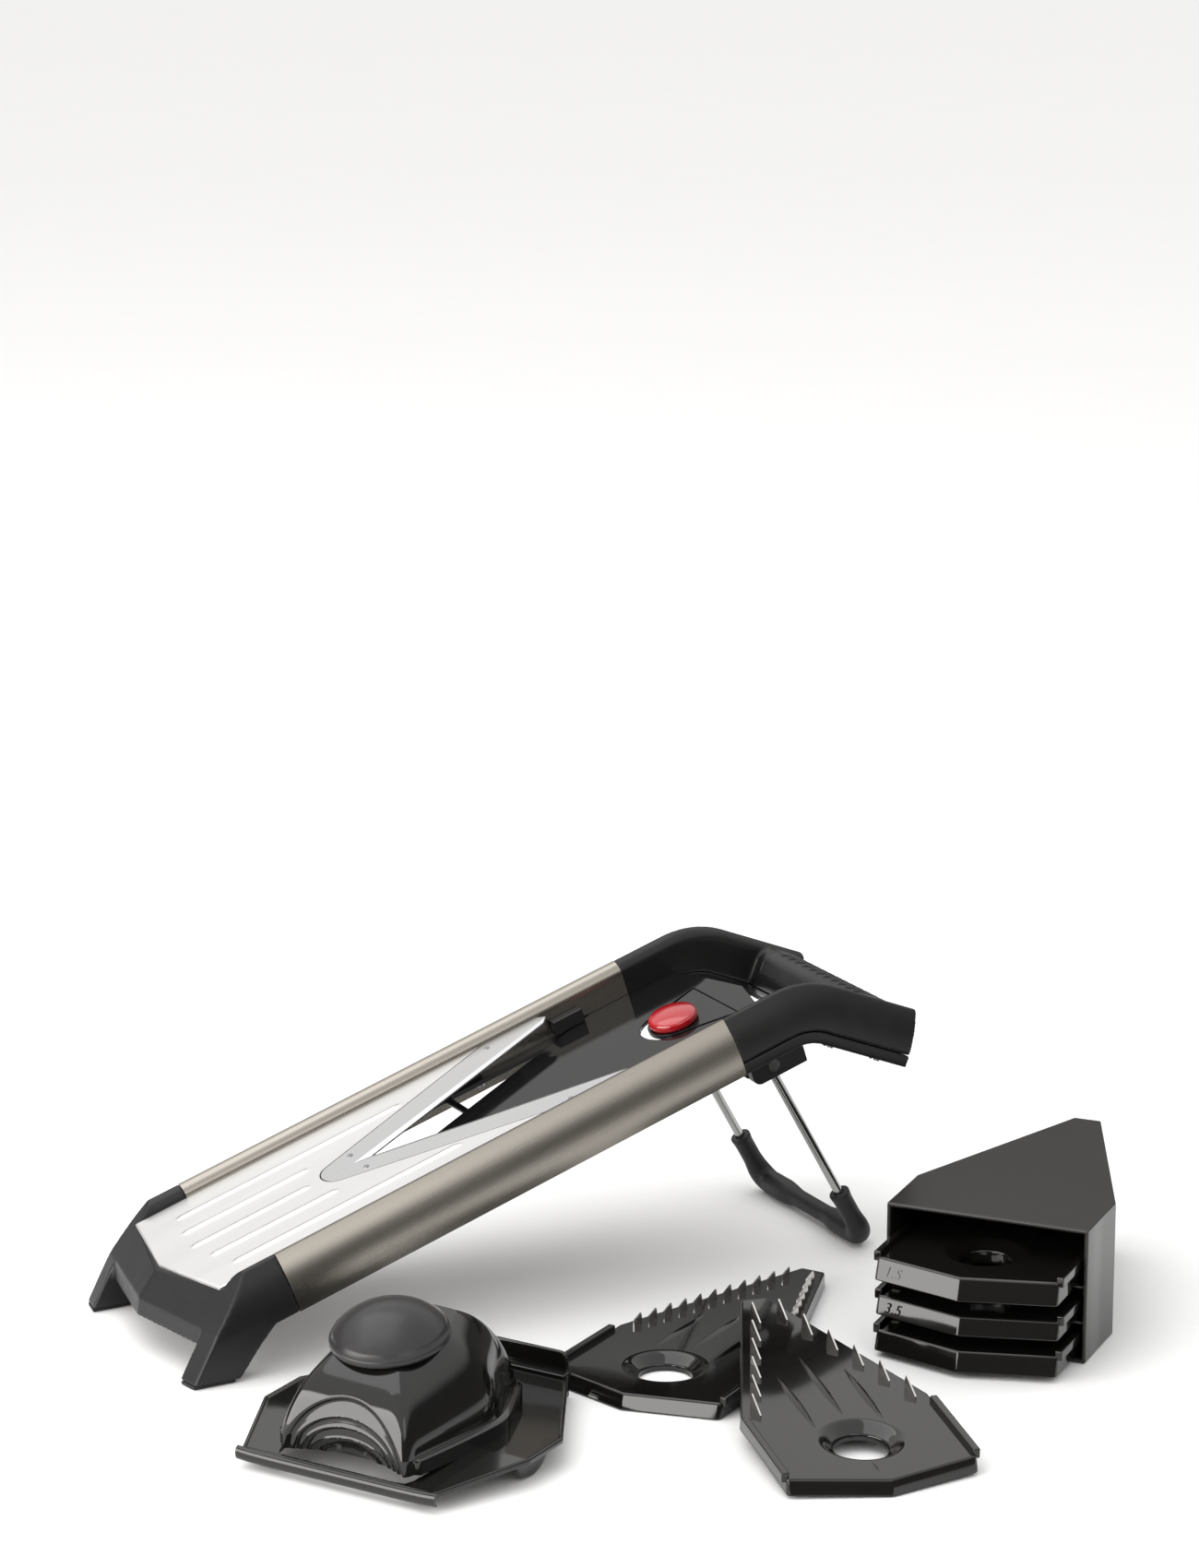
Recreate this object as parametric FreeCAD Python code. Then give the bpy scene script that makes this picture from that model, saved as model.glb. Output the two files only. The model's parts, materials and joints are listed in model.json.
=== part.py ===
"""V-blade mandoline slicer with its hand guard, julienne inserts and storage case.

The slicer is built in its own sloping frame: X runs up the slope from the foot to the handle,
Y runs across, and Z is square to the feed plate, with Z = 0 on the top ridge of the rails.
tilted() then stands it on the floor. Everything else is placed straight on the floor.
All sizes are in millimetres. The origin is the middle of the whole set, on the floor.
"""
import FreeCAD, Part
import math
import os

V = FreeCAD.Vector

# ---- slicer: overall sizes
tilt_deg = 17.94            # slope of the feed plate when the stand is open
ridge_height = 60.4         # floor to the rail's ridge at the lower end of the steel covers
rail_length = 271.5         # steel part of a rail
rail_gap = 105.8            # between the flat inner walls of the two rails
rail_width = 15.6
rail_depth = 30.4
cover_wall = 0.8            # folded steel sheet
rail_ridge = 7.2            # inner wall to the ridge
rail_shoulder = 6.0         # ridge to where the inner wall starts to round over
shoulder_in = 2.2           # a point of that rounding, in and down
shoulder_down = 1.5
bow_in = 2.6                # a point of the bowed outside, in from the outer edge and down
bow_down = 11.6

# ---- feed plate and blades
plate_wall = 1.6
plate_drop = 5.5            # ridge to the plate's top face
plate_overhang = 30.9       # how far the plate runs on past the covers, at its corners
front_point = 10.6          # how far the middle of the front edge stands out
slide_gap = 0.2             # clearance beside the plate, the bed and the blades
vee_tip = 55.8              # lower tip of the vee that holds the blades
vee_slope = 0.36            # outer edge of the vee, across per length
vee_tip_radius = 11.1
blade_apex = 84.9           # where the two cutting edges meet
edge_slope = 0.33           # cutting edge, across per length
blade_tip_width = 8.3       # left of the blade at its upper end
blade_land = 4.0            # unground margin behind the end corner
bevel_deg = 16.0            # ground face behind the cutting edge
bevel_width = 3.4
carrier_wall = 3.0
carrier_short = 25.0        # the carrier ends before the blades
carrier_setback = 6.0       # cutting edge to the carrier, so that a slice can pass
carrier_nose = 12.0
outline_gap = 0.4           # fine gap round the blades
rivet_radius = 1.5
rivet_rise = 0.3
rivet_inset = 5.6           # from the blade's outer edge
rivet_low = 77.5            # lower rivets
rivet_back = 38.0           # upper rivets to the blades' upper end
rib_radius = 0.9
rib_rise = 0.45
rib_pitch = 17.6
rib_starts = (-19.0, -16.0, -11.0)      # middle, next and outer ribs
rib_ends = (45.0, 53.0, 118.0)

# ---- bed that carries an insert
bed_drop = 18.5             # ridge to the bed's top face
bed_wall = 2.5
bed_tip = 104.0
bed_tip_half = 4.0
bed_slope = 0.342
bed_past = 29.5             # bed's upper corners beyond the steel covers
bed_point = 13.0            # the bed's upper edge is a wide vee too
ledge_wall = 2.6
ledge_reach = 6.0
ledge_web = 1.2
ledge_trim = 5.0            # the upper ledge stops short of the end rivets
rod_radius = 2.0
rod_station = 152.5
rod_gap = 0.6               # between the rod and the bed above it
blocks_back = 49.0          # guide blocks start this far before the covers' upper end
block_length = 18.5
block_height = 8.0
block_reach = 5.5

# ---- release button on its tongue
button_reach = 27.0         # button to the tongue's root
button_radius = 13.5
button_side = 4.2
button_dome = 2.8
tongue_rim = 1.2
slit_end = 4.6
slit_side = 1.3
root_margin = 4.0           # tongue's root to the bed's upper corners
tongue_root_half = 23.5
hinge_gap = 0.6
stem_radius = 4.5
stem_length = 6.0

# ---- handle
arm_straight = 31.5         # from the steel cover to the bend
bend_deg = 40.0
bend_radius = 55.0          # at the arm's top line
arm_reach = 55.0            # straight part after the bend
shell_split = 23.8          # top line to the joint between the two shells
split_gap = 0.3
end_round = 5.0
grip_length_along = 29.0
grip_inset = 2.0
grip_top = 1.5
grip_bottom = 28.5
grip_round = 9.0
groove_count = 12
groove_pitch = 7.4
groove_radius = 2.0
groove_bite = 1.7
pad_wall = 3.0
screw_radius = 3.0
screw_height = 1.2

# ---- folding stand
pivot_past = 20.0           # pivot beyond the steel covers
pivot_drop = 37.0
block_front = 13.5          # pivot to the block's lower face, along the slope
block_back = 19.5
block_foot = 7.2            # pivot to the block's underside
cheek = 4.6
wire_radius = 2.5
wire_clearance = 0.4
leg_inset = 0.4             # leg's middle inside the rail's inner wall
lean_deg = 29.5             # open leg from the vertical
leg_bend = 7.5
stand_sleeve_radius = 5.4
stand_foot_radius = 6.6
stand_waist_half = 17.0
stand_foot_round = 3.0
sleeve_up_leg = 31.0
pin_radius = 2.5
pin_clearance = 0.08
pin_head_radius = 3.4
pin_head = 1.0

# ---- front foot
facet_slope = 1.4           # rise of the front facets per depth
toe_slope = 1.9             # steeper below the chamfer line
leg_overlap = 1.0           # leg into the rail-shaped part above it
leg_step = 2.1              # front leg's inner side outside the rail's inner wall
pad_height = 1.8
pad_inset = 1.2
pad_end = -25.0
panel_bottom = 17.5         # floor to the lower edge of the front panel
panel_chamfer_top = 26.5
chamfer_lean = 1.1
panel_wall = 6.0
panel_back = 12.0
panel_lip = 5.0             # thickness of the foot under the plate
knee_along = 14.0           # the leg leaves the rail's underside here
shin_along = 24.0
shin_drop = 6.0

# ---- inserts
insert_play = 2.6           # wing to rail on each side
insert_shoulder = 69.5      # base corners to where the sides turn in
insert_length = 189.4       # base corners to the blunt tip
insert_tip_half = 7.0
insert_point = 12.8         # bulge of the wide base edge
insert_skin = 2.4
insert_hole = 13.5
hole_recess = 20.0
recess_depth = 5.5
hole_station = 32.0
wing_width = 2.0
wing_reach = 1.8
wing_rise = 2.6
wing_start = 4.0
wing_end = 62.0
spindle_rise = 1.2
spindle_half = 2.2
spindle_pitch = 17.5
spindle_starts = (58.0, 49.0)           # middle rib and outer ribs
spindle_lengths = (63.0, 54.0)
slice_sizes = {"thin": 1.5, "medium": 2.5, "thick": 3.5}

# ---- julienne teeth: pitch and length along the insert, heights above its top face
julienne_height = 8.0
tooth_wall = 0.8
tooth_margin = 9.0          # last tooth to the blunt tip
fine_teeth = {"first": 74.5, "pitch": 9.7, "inset": 6.0, "length": 7.8, "tip": 5.2, "heel": 3.0}
coarse_teeth = {"first": 71.0, "pitch": 19.0, "inset": 8.0, "length": 14.5, "tip": 7.0,
                "heel": 1.8}

# ---- storage case
case_play = 1.2             # wing to case wall on each side
case_end_gap = 6.0          # case wall ahead of a stored insert's shoulders and tip
case_tip_half = 7.35
case_height = 71.1
case_wall = 2.2
case_pitch = 19.0
stack_start = 2.9
shelf_reach = 5.0
shelf_wall = 1.6
shelf_gap = 0.3
insert_out = 30.0           # part of a stored insert that stands out of the case
insert_slack = {"thin": 2.0, "thick": 0.0, "medium": 1.5}
shelf_start = 2.0
case_place = (327.1, -207.7)
case_yaw = 38.06

# ---- places of the two loose inserts
far_place = (135.9, -184.6)
far_yaw = 30.9
near_place = (188.6, -334.6)
near_yaw = 78.9
near_lean_deg = 5.3

# ---- hand guard: X runs from its near lip to its far wall
guard_place = (36.1, -168.1)
guard_yaw = 30.4
guard_near = -88.5
guard_far = 67.0
guard_near_half = 54.6
guard_far_half = 34.0
skirt_margin = 7.5          # flange beyond the skirt's inner face
guard_side_low = -38.0
guard_side_high = -8.0
flange_level = 9.0          # top of the flange at the near lip
flange_side_level = 13.0    # and from the side corners on
guard_wall = 2.2
lip_bulge = 2.5
lip_drop = 6.5
far_wall_top = 24.0
skirt_play = 0.5            # skirt to the outside of a rail
skirt_start = -40.0
skirt_end = -14.0
hood_near = -86.0
hood_near_half = 38.0
hood_mid = -16.0
hood_mid_half = 49.0
hood_far = 31.0
hood_far_half = 31.0
hood_levels = ((0.0, 0.0), (20.0, 0.05), (36.0, 0.13), (50.0, 0.28), (60.0, 0.48))
knob_place = -41.0
knob_radius = 29.5
knob_clearance = 0.5
knob_side = 4.0
knob_dome = 14.0
crown_tilt_deg = 10.0       # the crown and the knob face the near lip
stem_radius_guard = 9.0
stem_fit = 0.08
collar_wall = 3.0
collar_depth = 12.0
prong_plate_radius = 24.0
prong_plate_wall = 3.0
prong_plate_level = 24.0
prong_radius = 1.0
prong_point = 0.2
prong_length = 9.0
prong_ring = 17.0
prong_count = 8

half_gap = rail_gap / 2
bed_side_end = rail_length + bed_past
blade_end = blade_apex + (half_gap - blade_tip_width) / edge_slope
carrier_end = blade_end - carrier_short
rivet_stations = (rivet_low, blade_end - rivet_back)
tongue_root = bed_side_end - root_margin
button_station = tongue_root - button_reach
block_start = rail_length - blocks_back
pivot_station = rail_length + pivot_past
leg_half = half_gap - leg_inset
leg_inner = half_gap + leg_step
insert_width = rail_gap - 2 * (wing_reach + insert_play)
case_width = insert_width + 2 * (wing_reach + case_play + case_wall)
case_parallel = insert_shoulder - insert_out + case_end_gap
case_length = insert_length - insert_out + case_end_gap
skirt_inner = half_gap + rail_width + skirt_play
guard_side_half = skirt_inner + skirt_margin
slope = math.radians(tilt_deg)


# ---------------------------------------------------------------- helpers
def polygon(points, height, level=0.0):
    """A prism on the XY plane from a closed outline."""
    corners = [V(x, y, level) for x, y in points]
    return Part.Face(Part.makePolygon(corners + corners[:1])).extrude(V(0, 0, height))


def side_prism(points, y0, y1):
    """A prism across the object from an outline in the XZ plane."""
    corners = [V(x, y0, z) for x, z in points]
    return Part.Face(Part.makePolygon(corners + corners[:1])).extrude(V(0, y1 - y0, 0))


def box(x0, x1, y0, y1, z0, z1):
    return Part.makeBox(x1 - x0, y1 - y0, z1 - z0, V(x0, y0, z0))


def cylinder(radius, length, start, axis=(0, 0, 1)):
    return Part.makeCylinder(radius, length, V(*start), V(*axis))


def across(radius, y0, y1, x, z):
    return cylinder(radius, y1 - y0, (x, y0, z), (0, 1, 0))


def mirrored(shape):
    return shape.mirror(V(0, 0, 0), V(0, 1, 0))


def both(shape):
    return Part.makeCompound([shape, mirrored(shape)])


def fuse(first, *others):
    return first.fuse(list(others)).removeSplitter()


def mirror_points(points):
    """Close a symmetric outline given by its +Y half, in order."""
    return points + [(x, -y) for x, y in reversed(points) if abs(y) > 1e-9]


def soft_fillet(shape, radius, choose):
    """Round the edges that choose() picks, as far as the wall allows."""
    edges = [edge for edge in shape.Edges if choose(edge)]
    return shape.makeFillet(radius, edges) if edges else shape


def placed(shape, x, y, yaw, lean=0.0, z=0.0):
    """Turn a piece by its lean about Y, then by its yaw about Z, and set it at x, y."""
    out = shape.copy()
    out.rotate(V(0, 0, 0), V(0, 1, 0), -lean)
    out.rotate(V(0, 0, 0), V(0, 0, 1), yaw)
    out.translate(V(x, y, z))
    return out


def tilted(shape):
    """From the slicer's sloping frame to the floor."""
    out = shape.copy()
    out.rotate(V(0, 0, 0), V(0, 1, 0), -tilt_deg)
    out.translate(V(0, 0, ridge_height))
    return out


def tilted_point(x, y, z):
    return V(x * math.cos(slope) - z * math.sin(slope), y,
             ridge_height + x * math.sin(slope) + z * math.cos(slope))


# ---------------------------------------------------------------- rails
def rail_outline(inset=0.0):
    """Closed section of the +Y rail in the YZ plane: flat inside, rounded top, bowed outside."""
    inner = half_gap + inset
    top = -inset
    outer = half_gap + rail_width - inset
    low = -rail_depth
    ridge = half_gap + rail_ridge
    return [
        Part.LineSegment(V(0, inner, low), V(0, inner, top - rail_shoulder)),
        Part.Arc(V(0, inner, top - rail_shoulder), V(0, inner + shoulder_in, top - shoulder_down),
                 V(0, ridge, top)),
        Part.Arc(V(0, ridge, top), V(0, outer - bow_in, top - bow_down), V(0, outer, low)),
        Part.LineSegment(V(0, outer, low), V(0, inner, low)),
    ]


def rail_face(inset=0.0, x=0.0):
    wire = Part.Wire([curve.toShape() for curve in rail_outline(inset)])
    wire.translate(V(x, 0, 0))
    return Part.Face(wire)


def rail_bar(x0, x1, inset=0.0):
    return rail_face(inset, x0).extrude(V(x1 - x0, 0, 0))


def rail_cover():
    return rail_bar(0, rail_length).cut(rail_bar(-1, rail_length + 1, cover_wall))


def rail_core():
    return rail_bar(0, rail_length, cover_wall)


def rail_ledge():
    """Strip inside a rail: the lower rib carries the bed and the upper one the feed plate."""
    inner = half_gap - ledge_reach
    bed_low = -bed_drop - bed_wall
    plate_low = -plate_drop - plate_wall
    lower = box(bed_tip, rail_length, inner, half_gap, bed_low - ledge_wall, bed_low)
    upper_end = (half_gap - vee_half(0)) / vee_slope - ledge_trim
    upper = box(0, upper_end, inner, half_gap, plate_low - ledge_wall, plate_low)
    web = box(bed_tip, upper_end, half_gap - ledge_web, half_gap, bed_low, plate_low)
    return fuse(lower, upper, web).cut(cross_rod())


# ---------------------------------------------------------------- feed plate and blades
def vee_half(x):
    """Half width of the vee's outer edge at station x."""
    lean = math.hypot(1, vee_slope)
    return vee_slope * (x - vee_tip - vee_tip_radius) + vee_tip_radius * lean


def vee_cut(height, level, grow=0.0):
    """The rounded vee that the blades fill, as far as the rails."""
    lean = math.atan(vee_slope)
    centre = vee_tip + vee_tip_radius
    radius = vee_tip_radius - grow
    touch = (centre - radius * math.sin(lean), radius * math.cos(lean))
    far = rail_length
    far_half = touch[1] + vee_slope * (far - touch[0])
    points = [V(*touch, 0), V(far, far_half, 0), V(far, -far_half, 0), V(touch[0], -touch[1], 0)]
    edges = [Part.LineSegment(points[i], points[i + 1]).toShape() for i in range(3)]
    edges.append(Part.Arc(points[3], V(centre - radius, 0, 0), points[0]).toShape())
    prism = Part.Face(Part.Wire(edges)).extrude(V(0, 0, height))
    prism.translate(V(0, 0, level))
    return prism


def feed_plate():
    half = half_gap - slide_gap
    low = -plate_drop - plate_wall
    outline = mirror_points([(-plate_overhang - front_point, 0), (-plate_overhang, half),
                             (rail_length, half)])
    plate = polygon(outline, plate_wall, low).cut(vee_cut(plate_wall, low))
    ribs = []
    for step in (-2, -1, 0, 1, 2):
        start = rib_starts[abs(step)]
        end = rib_ends[abs(step)]
        centre_z = -plate_drop + rib_rise - rib_radius
        rib = cylinder(rib_radius, end - start, (start, step * rib_pitch, centre_z), (1, 0, 0))
        rounded = [Part.makeSphere(rib_radius, V(x, step * rib_pitch, centre_z))
                   for x in (start, end)]
        ribs.append(rib.fuse(rounded))
    return plate.fuse(ribs).removeSplitter()


def blade_outline(level, height):
    """The +Y blade: a strip between the vee's outer edge and its cutting edge."""
    half = half_gap - slide_gap
    area = vee_cut(height, level, outline_gap)
    inner_half = edge_slope * (blade_end - blade_apex)
    keep = polygon([(vee_tip, slide_gap / 2), (blade_apex, slide_gap / 2),
                    (blade_end - blade_land, inner_half), (blade_end, inner_half + blade_land),
                    (blade_end - blade_land, half), (vee_tip, half)], height, level)
    return area.common(keep)


def blade():
    level = -plate_drop - plate_wall
    strip = blade_outline(level, plate_wall)
    run = blade_end - blade_apex
    spare = run / 8
    bevel = box(-spare, run + spare, -2 * bevel_width, bevel_width, 0, 2 * bevel_width)
    bevel.rotate(V(0, bevel_width, 0), V(1, 0, 0), bevel_deg)
    bevel.rotate(V(0, 0, 0), V(0, 0, 1), math.degrees(math.atan(edge_slope)))
    bevel.translate(V(blade_apex, 0, level + plate_wall))
    return strip.cut(bevel).cut(rivet_holes())


def rivet_places():
    lean = math.atan(vee_slope)
    return [(x, vee_half(x) - rivet_inset / math.cos(lean)) for x in rivet_stations]


def rivet_holes():
    low = -plate_drop - plate_wall - carrier_wall
    return Part.makeCompound([cylinder(rivet_radius, carrier_wall + plate_wall, (x, y, low))
                              for x, y in rivet_places()])


def rivets():
    low = -plate_drop - plate_wall - carrier_wall
    height = carrier_wall + plate_wall + rivet_rise
    pins = [cylinder(rivet_radius, height, (x, y, low)) for x, y in rivet_places()]
    return Part.makeCompound([pin for place in pins for pin in (place, mirrored(place))])


def blade_carrier():
    """Vee-shaped bars under the plate and the blades."""
    half = half_gap - ledge_reach - slide_gap
    full = vee_tip + vee_tip_radius + half / vee_slope - carrier_nose
    inner_end = edge_slope * (carrier_end - blade_apex) + carrier_setback
    start = blade_apex + carrier_setback / 2
    bars = polygon([(vee_tip - carrier_nose, 0), (vee_tip, carrier_nose), (full, half),
                    (max(carrier_end, full), half), (max(carrier_end, full), inner_end),
                    (start, carrier_setback), (start, 0)],
                   carrier_wall, -plate_drop - plate_wall - carrier_wall)
    return fuse(bars, mirrored(bars)).cut(rivet_holes()).cut(mirrored(rivet_holes()))


# ---------------------------------------------------------------- bed and release
def bed_half(x):
    return bed_tip_half + bed_slope * (x - bed_tip)


def tongue_shape(grow, shift):
    """Rounded tongue through the bed, grown sideways and with its round end shifted down."""
    low = -bed_drop - bed_wall
    radius = button_radius + tongue_rim + grow
    centre = button_station - shift
    root_half = tongue_root_half + grow
    wedge = polygon([(centre, radius), (tongue_root, root_half), (tongue_root, -root_half),
                     (centre, -radius)], bed_wall, low)
    return fuse(wedge, cylinder(radius, bed_wall, (centre, 0, low)))


def bed():
    half = half_gap - slide_gap
    shoulder = bed_tip + (half - bed_tip_half) / bed_slope
    plate = polygon(mirror_points([(bed_tip, bed_tip_half), (shoulder, half),
                                   (bed_side_end, half), (bed_side_end + bed_point, 0)]),
                    bed_wall, -bed_drop - bed_wall)
    return plate.cut(tongue_shape(slit_side, slit_end - slit_side))


def tongue():
    low = -bed_drop - bed_wall
    root = box(tongue_root - hinge_gap, tongue_root, -half_gap, half_gap, low, low + bed_wall)
    return tongue_shape(0.0, 0.0).cut(root)


def button():
    low = -bed_drop
    body = cylinder(button_radius, button_side, (button_station, 0, low))
    cap_radius = (button_radius ** 2 + button_dome ** 2) / (2 * button_dome)
    cap = Part.makeSphere(cap_radius, V(button_station, 0, low + button_side + button_dome
                                        - cap_radius))
    cap = cap.common(cylinder(button_radius, button_dome, (button_station, 0,
                                                           low + button_side)))
    return fuse(body, cap)


def button_stem():
    low = -bed_drop - bed_wall
    return cylinder(stem_radius, stem_length, (button_station, 0, low - stem_length))


def cross_rod():
    return across(rod_radius, -half_gap, half_gap, rod_station,
                  -bed_drop - bed_wall - rod_gap - rod_radius)


def guide_block():
    return box(block_start, block_start + block_length, half_gap - block_reach, half_gap,
               -bed_drop, -bed_drop + block_height)


def bed_screws():
    heads = [cylinder(screw_radius, screw_height, (x, y, -bed_drop - bed_wall - ledge_wall
                                                    - screw_height))
             for x in (rod_station + 20, rail_length - 12)
             for y in (half_gap - ledge_reach / 2, -half_gap + ledge_reach / 2)]
    return Part.makeCompound(heads)


# ---------------------------------------------------------------- handle
bend = math.radians(bend_deg)
bend_start = rail_length + arm_straight


def arm_point(along, down):
    """A point of the bent end: along from the end of the bend, down from its top line."""
    x = bend_start + bend_radius * math.sin(bend) + along * math.cos(bend) - down * math.sin(bend)
    z = -bend_radius * (1 - math.cos(bend)) - along * math.sin(bend) - down * math.cos(bend)
    return x, z


def arm_path():
    start = V(rail_length, half_gap, 0)
    turn = V(bend_start, half_gap, 0)
    middle = V(bend_start + bend_radius * math.sin(bend / 2), half_gap,
               -bend_radius * (1 - math.cos(bend / 2)))
    x, z = arm_point(0, 0)
    x_end, z_end = arm_point(arm_reach, 0)
    return Part.Wire([Part.LineSegment(start, turn).toShape(),
                      Part.Arc(turn, middle, V(x, half_gap, z)).toShape(),
                      Part.LineSegment(V(x, half_gap, z), V(x_end, half_gap, z_end)).toShape()])


def arm(low, high):
    """The part of the arm's section between two depths below the top line, swept along it."""
    window = box(-1, 1, half_gap - 1, half_gap + rail_width + 1, -high, -low)
    face = rail_face().common(window).Faces[0]
    face.translate(V(rail_length, 0, 0))
    return arm_path().makePipeShell([face.OuterWire], True, False)


def grip_section(top, bottom, y0, y1, shrink=0.0):
    """The crossbar between the arm ends, cut to a band of depths."""
    a0 = arm_reach - grip_inset - grip_length_along + shrink
    a1 = arm_reach - grip_inset - shrink
    corners = [arm_point(a0, grip_top + shrink), arm_point(a1, grip_top + shrink),
               arm_point(a1, grip_bottom), arm_point(a0, grip_bottom)]
    bar = side_prism(corners, y0, y1)
    bar = bar.makeFillet(grip_round, [e for e in bar.Edges if abs(e.tangentAt(
        e.FirstParameter).y) > 0.99])
    reach = arm_reach + 40
    band = side_prism([arm_point(-40, top), arm_point(reach, top), arm_point(reach, bottom),
                       arm_point(-40, bottom)], y0, y1)
    return bar.common(band)


def grip_pad_cutter():
    half = groove_count * groove_pitch / 2 + 1.0
    return grip_section(-5, shell_split - 8.0, -half, half).cut(
        grip_section(-5, shell_split, -half - 1, half + 1, pad_wall))


def handle_upper():
    inner = half_gap + 1.0
    arms = arm(-1, shell_split)
    bar = grip_section(-5, shell_split, -inner, inner)
    body = fuse(arms, mirrored(arms), bar)
    return body.cut(grip_pad_cutter())


def handle_lower():
    inner = half_gap + 1.0
    arms = arm(shell_split + split_gap, rail_depth + 1)
    bar = grip_section(shell_split + split_gap, rail_depth + 5, -inner, inner)
    return fuse(arms, mirrored(arms), bar)


def grip_pad():
    pad = grip_pad_cutter()
    grooves = []
    for index in range(groove_count - 1):
        y = (index - (groove_count - 2) / 2) * groove_pitch
        x0, z0 = arm_point(arm_reach - grip_inset - grip_length_along - 5,
                           grip_top - groove_radius + groove_bite)
        x1, z1 = arm_point(arm_reach - grip_inset + 5, grip_top - groove_radius + groove_bite)
        length = math.hypot(x1 - x0, z1 - z0)
        grooves.append(cylinder(groove_radius, length, (x0, y, z0), (x1 - x0, 0, z1 - z0)))
    return pad.cut(Part.makeCompound(grooves))


def handle_screws():
    heads = []
    for along in (8, arm_reach - 16):
        x, z = arm_point(along, rail_depth)
        out = (-math.sin(bend), 0, -math.cos(bend))
        for y in (half_gap + rail_width / 2, -half_gap - rail_width / 2):
            heads.append(cylinder(screw_radius, screw_height, (x, y, z), out))
    return Part.makeCompound(heads)


# ---------------------------------------------------------------- pivot blocks and stand
def pivot_block():
    slot = wire_radius + wire_clearance
    y0 = leg_half - slot - cheek
    y1 = leg_half + slot + cheek
    low = -pivot_drop - block_foot
    body = box(pivot_station - block_front, pivot_station + block_back, y0, y1, low,
               -rail_depth)
    body = soft_fillet(body, 5.0, lambda e: abs(e.tangentAt(e.FirstParameter).y) > 0.99
                       and e.CenterOfMass.x < pivot_station and e.CenterOfMass.z < low + 1)
    eye = wire_radius * 2 + wire_clearance
    back = pivot_station + wire_radius + wire_clearance + pin_radius
    channel = box(pivot_station - block_front - 1, back, leg_half - slot, leg_half + slot,
                  low - 1, -pivot_drop + eye)
    bore = across(pin_radius, y0 - 1, y1 + 1, pivot_station, -pivot_drop)
    shell = arm(shell_split + split_gap, rail_depth + rail_width)
    return body.cut(shell).cut(channel).cut(stand_stop_room()).cut(bore)


def stand_stop_room():
    """The open leg's own space in the block, so that its back wall stops it at the lean."""
    slot = wire_radius + wire_clearance
    reach = 30.0
    leg = box(-slot, slot, leg_half - slot, leg_half + slot, -reach, 0)
    leg.rotate(V(0, 0, 0), V(0, 1, 0), tilt_deg - lean_deg)
    leg.translate(V(pivot_station, 0, -pivot_drop))
    return leg


def pivot_pin():
    slot = wire_radius + wire_clearance
    y0 = leg_half - slot - cheek
    y1 = leg_half + slot + cheek
    shaft = across(pin_radius, y0, y1, pivot_station, -pivot_drop)
    head = across(pin_head_radius, y1, y1 + pin_head, pivot_station, -pivot_drop)
    return fuse(shaft, head)


pivot = tilted_point(pivot_station, 0, -pivot_drop)
lean = math.radians(lean_deg)
leg_length = (pivot.z - stand_foot_radius) / math.cos(lean)


def leg_point(down, y):
    return V(pivot.x + down * math.sin(lean), y, pivot.z - down * math.cos(lean))


def tube(points, radius, bend_r):
    """A round bar along straight runs joined by tangent arcs."""
    edges = []
    start = points[0]
    for before, corner, after in zip(points, points[1:], points[2:]):
        arrive = (corner - before).normalize()
        leave = (after - corner).normalize()
        turn = arrive.getAngle(leave)
        cut = bend_r * math.tan(turn / 2)
        first = corner - arrive * cut
        last = corner + leave * cut
        middle = corner + (leave - arrive).normalize() * (bend_r / math.cos(turn / 2) - bend_r)
        edges.append(Part.LineSegment(start, first).toShape())
        edges.append(Part.Arc(first, middle, last).toShape())
        start = last
    edges.append(Part.LineSegment(start, points[-1]).toShape())
    path = Part.Wire(edges)
    direction = points[1] - points[0]
    ring = Part.Wire([Part.makeCircle(radius, points[0], direction)])
    return path.makePipeShell([ring], True, False)


def stand_wire():
    bar = tube([leg_point(0, leg_half), leg_point(leg_length, leg_half),
                leg_point(leg_length, -leg_half), leg_point(0, -leg_half)],
               wire_radius, leg_bend)
    eyes = [across(wire_radius + pin_radius, y - wire_radius, y + wire_radius, pivot.x, pivot.z)
            for y in (leg_half, -leg_half)]
    holes = [across(pin_radius + pin_clearance, y - 9, y + 9, pivot.x, pivot.z)
             for y in (leg_half, -leg_half)]
    return fuse(bar, *eyes).cut(Part.makeCompound(holes))


def stand_sleeve():
    """Rubber sleeve over the bar and the leg ends, with a thick foot towards each corner."""
    top = leg_length - sleeve_up_leg
    points = [leg_point(top, leg_half), leg_point(leg_length, leg_half),
              leg_point(leg_length, -leg_half), leg_point(top, -leg_half)]
    grip = tube(points, stand_sleeve_radius, leg_bend)
    centre = leg_point(leg_length, 0)
    foot = across(stand_foot_radius, stand_waist_half, leg_half, centre.x, centre.z)
    foot = foot.makeFillet(stand_foot_round, [edge for edge in foot.Edges if edge.Closed])
    return fuse(grip, foot, mirrored(foot)).cut(tube(points, wire_radius, leg_bend))


# ---------------------------------------------------------------- front foot
def facet_corner():
    """Middle of the front edge, its height and how far the facets fall back per width."""
    middle = tilted_point(-plate_overhang - front_point, 0, -plate_drop)
    corner = tilted_point(-plate_overhang, 0, -plate_drop)
    return middle, (corner.x - middle.x) / half_gap


def facet_rows(rows, fall, reach, side):
    """A block in front of one facet, lofted over heights; rows are (x at the middle, z)."""
    wires = []
    for x, z in rows:
        corners = [V(x, 0, z), V(x + fall * reach, side * reach, z),
                   V(-reach - half_gap, side * reach, z), V(-reach - half_gap, 0, z)]
        wires.append(Part.makePolygon(corners + corners[:1]))
    return Part.makeLoft(wires, True, True)


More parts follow.
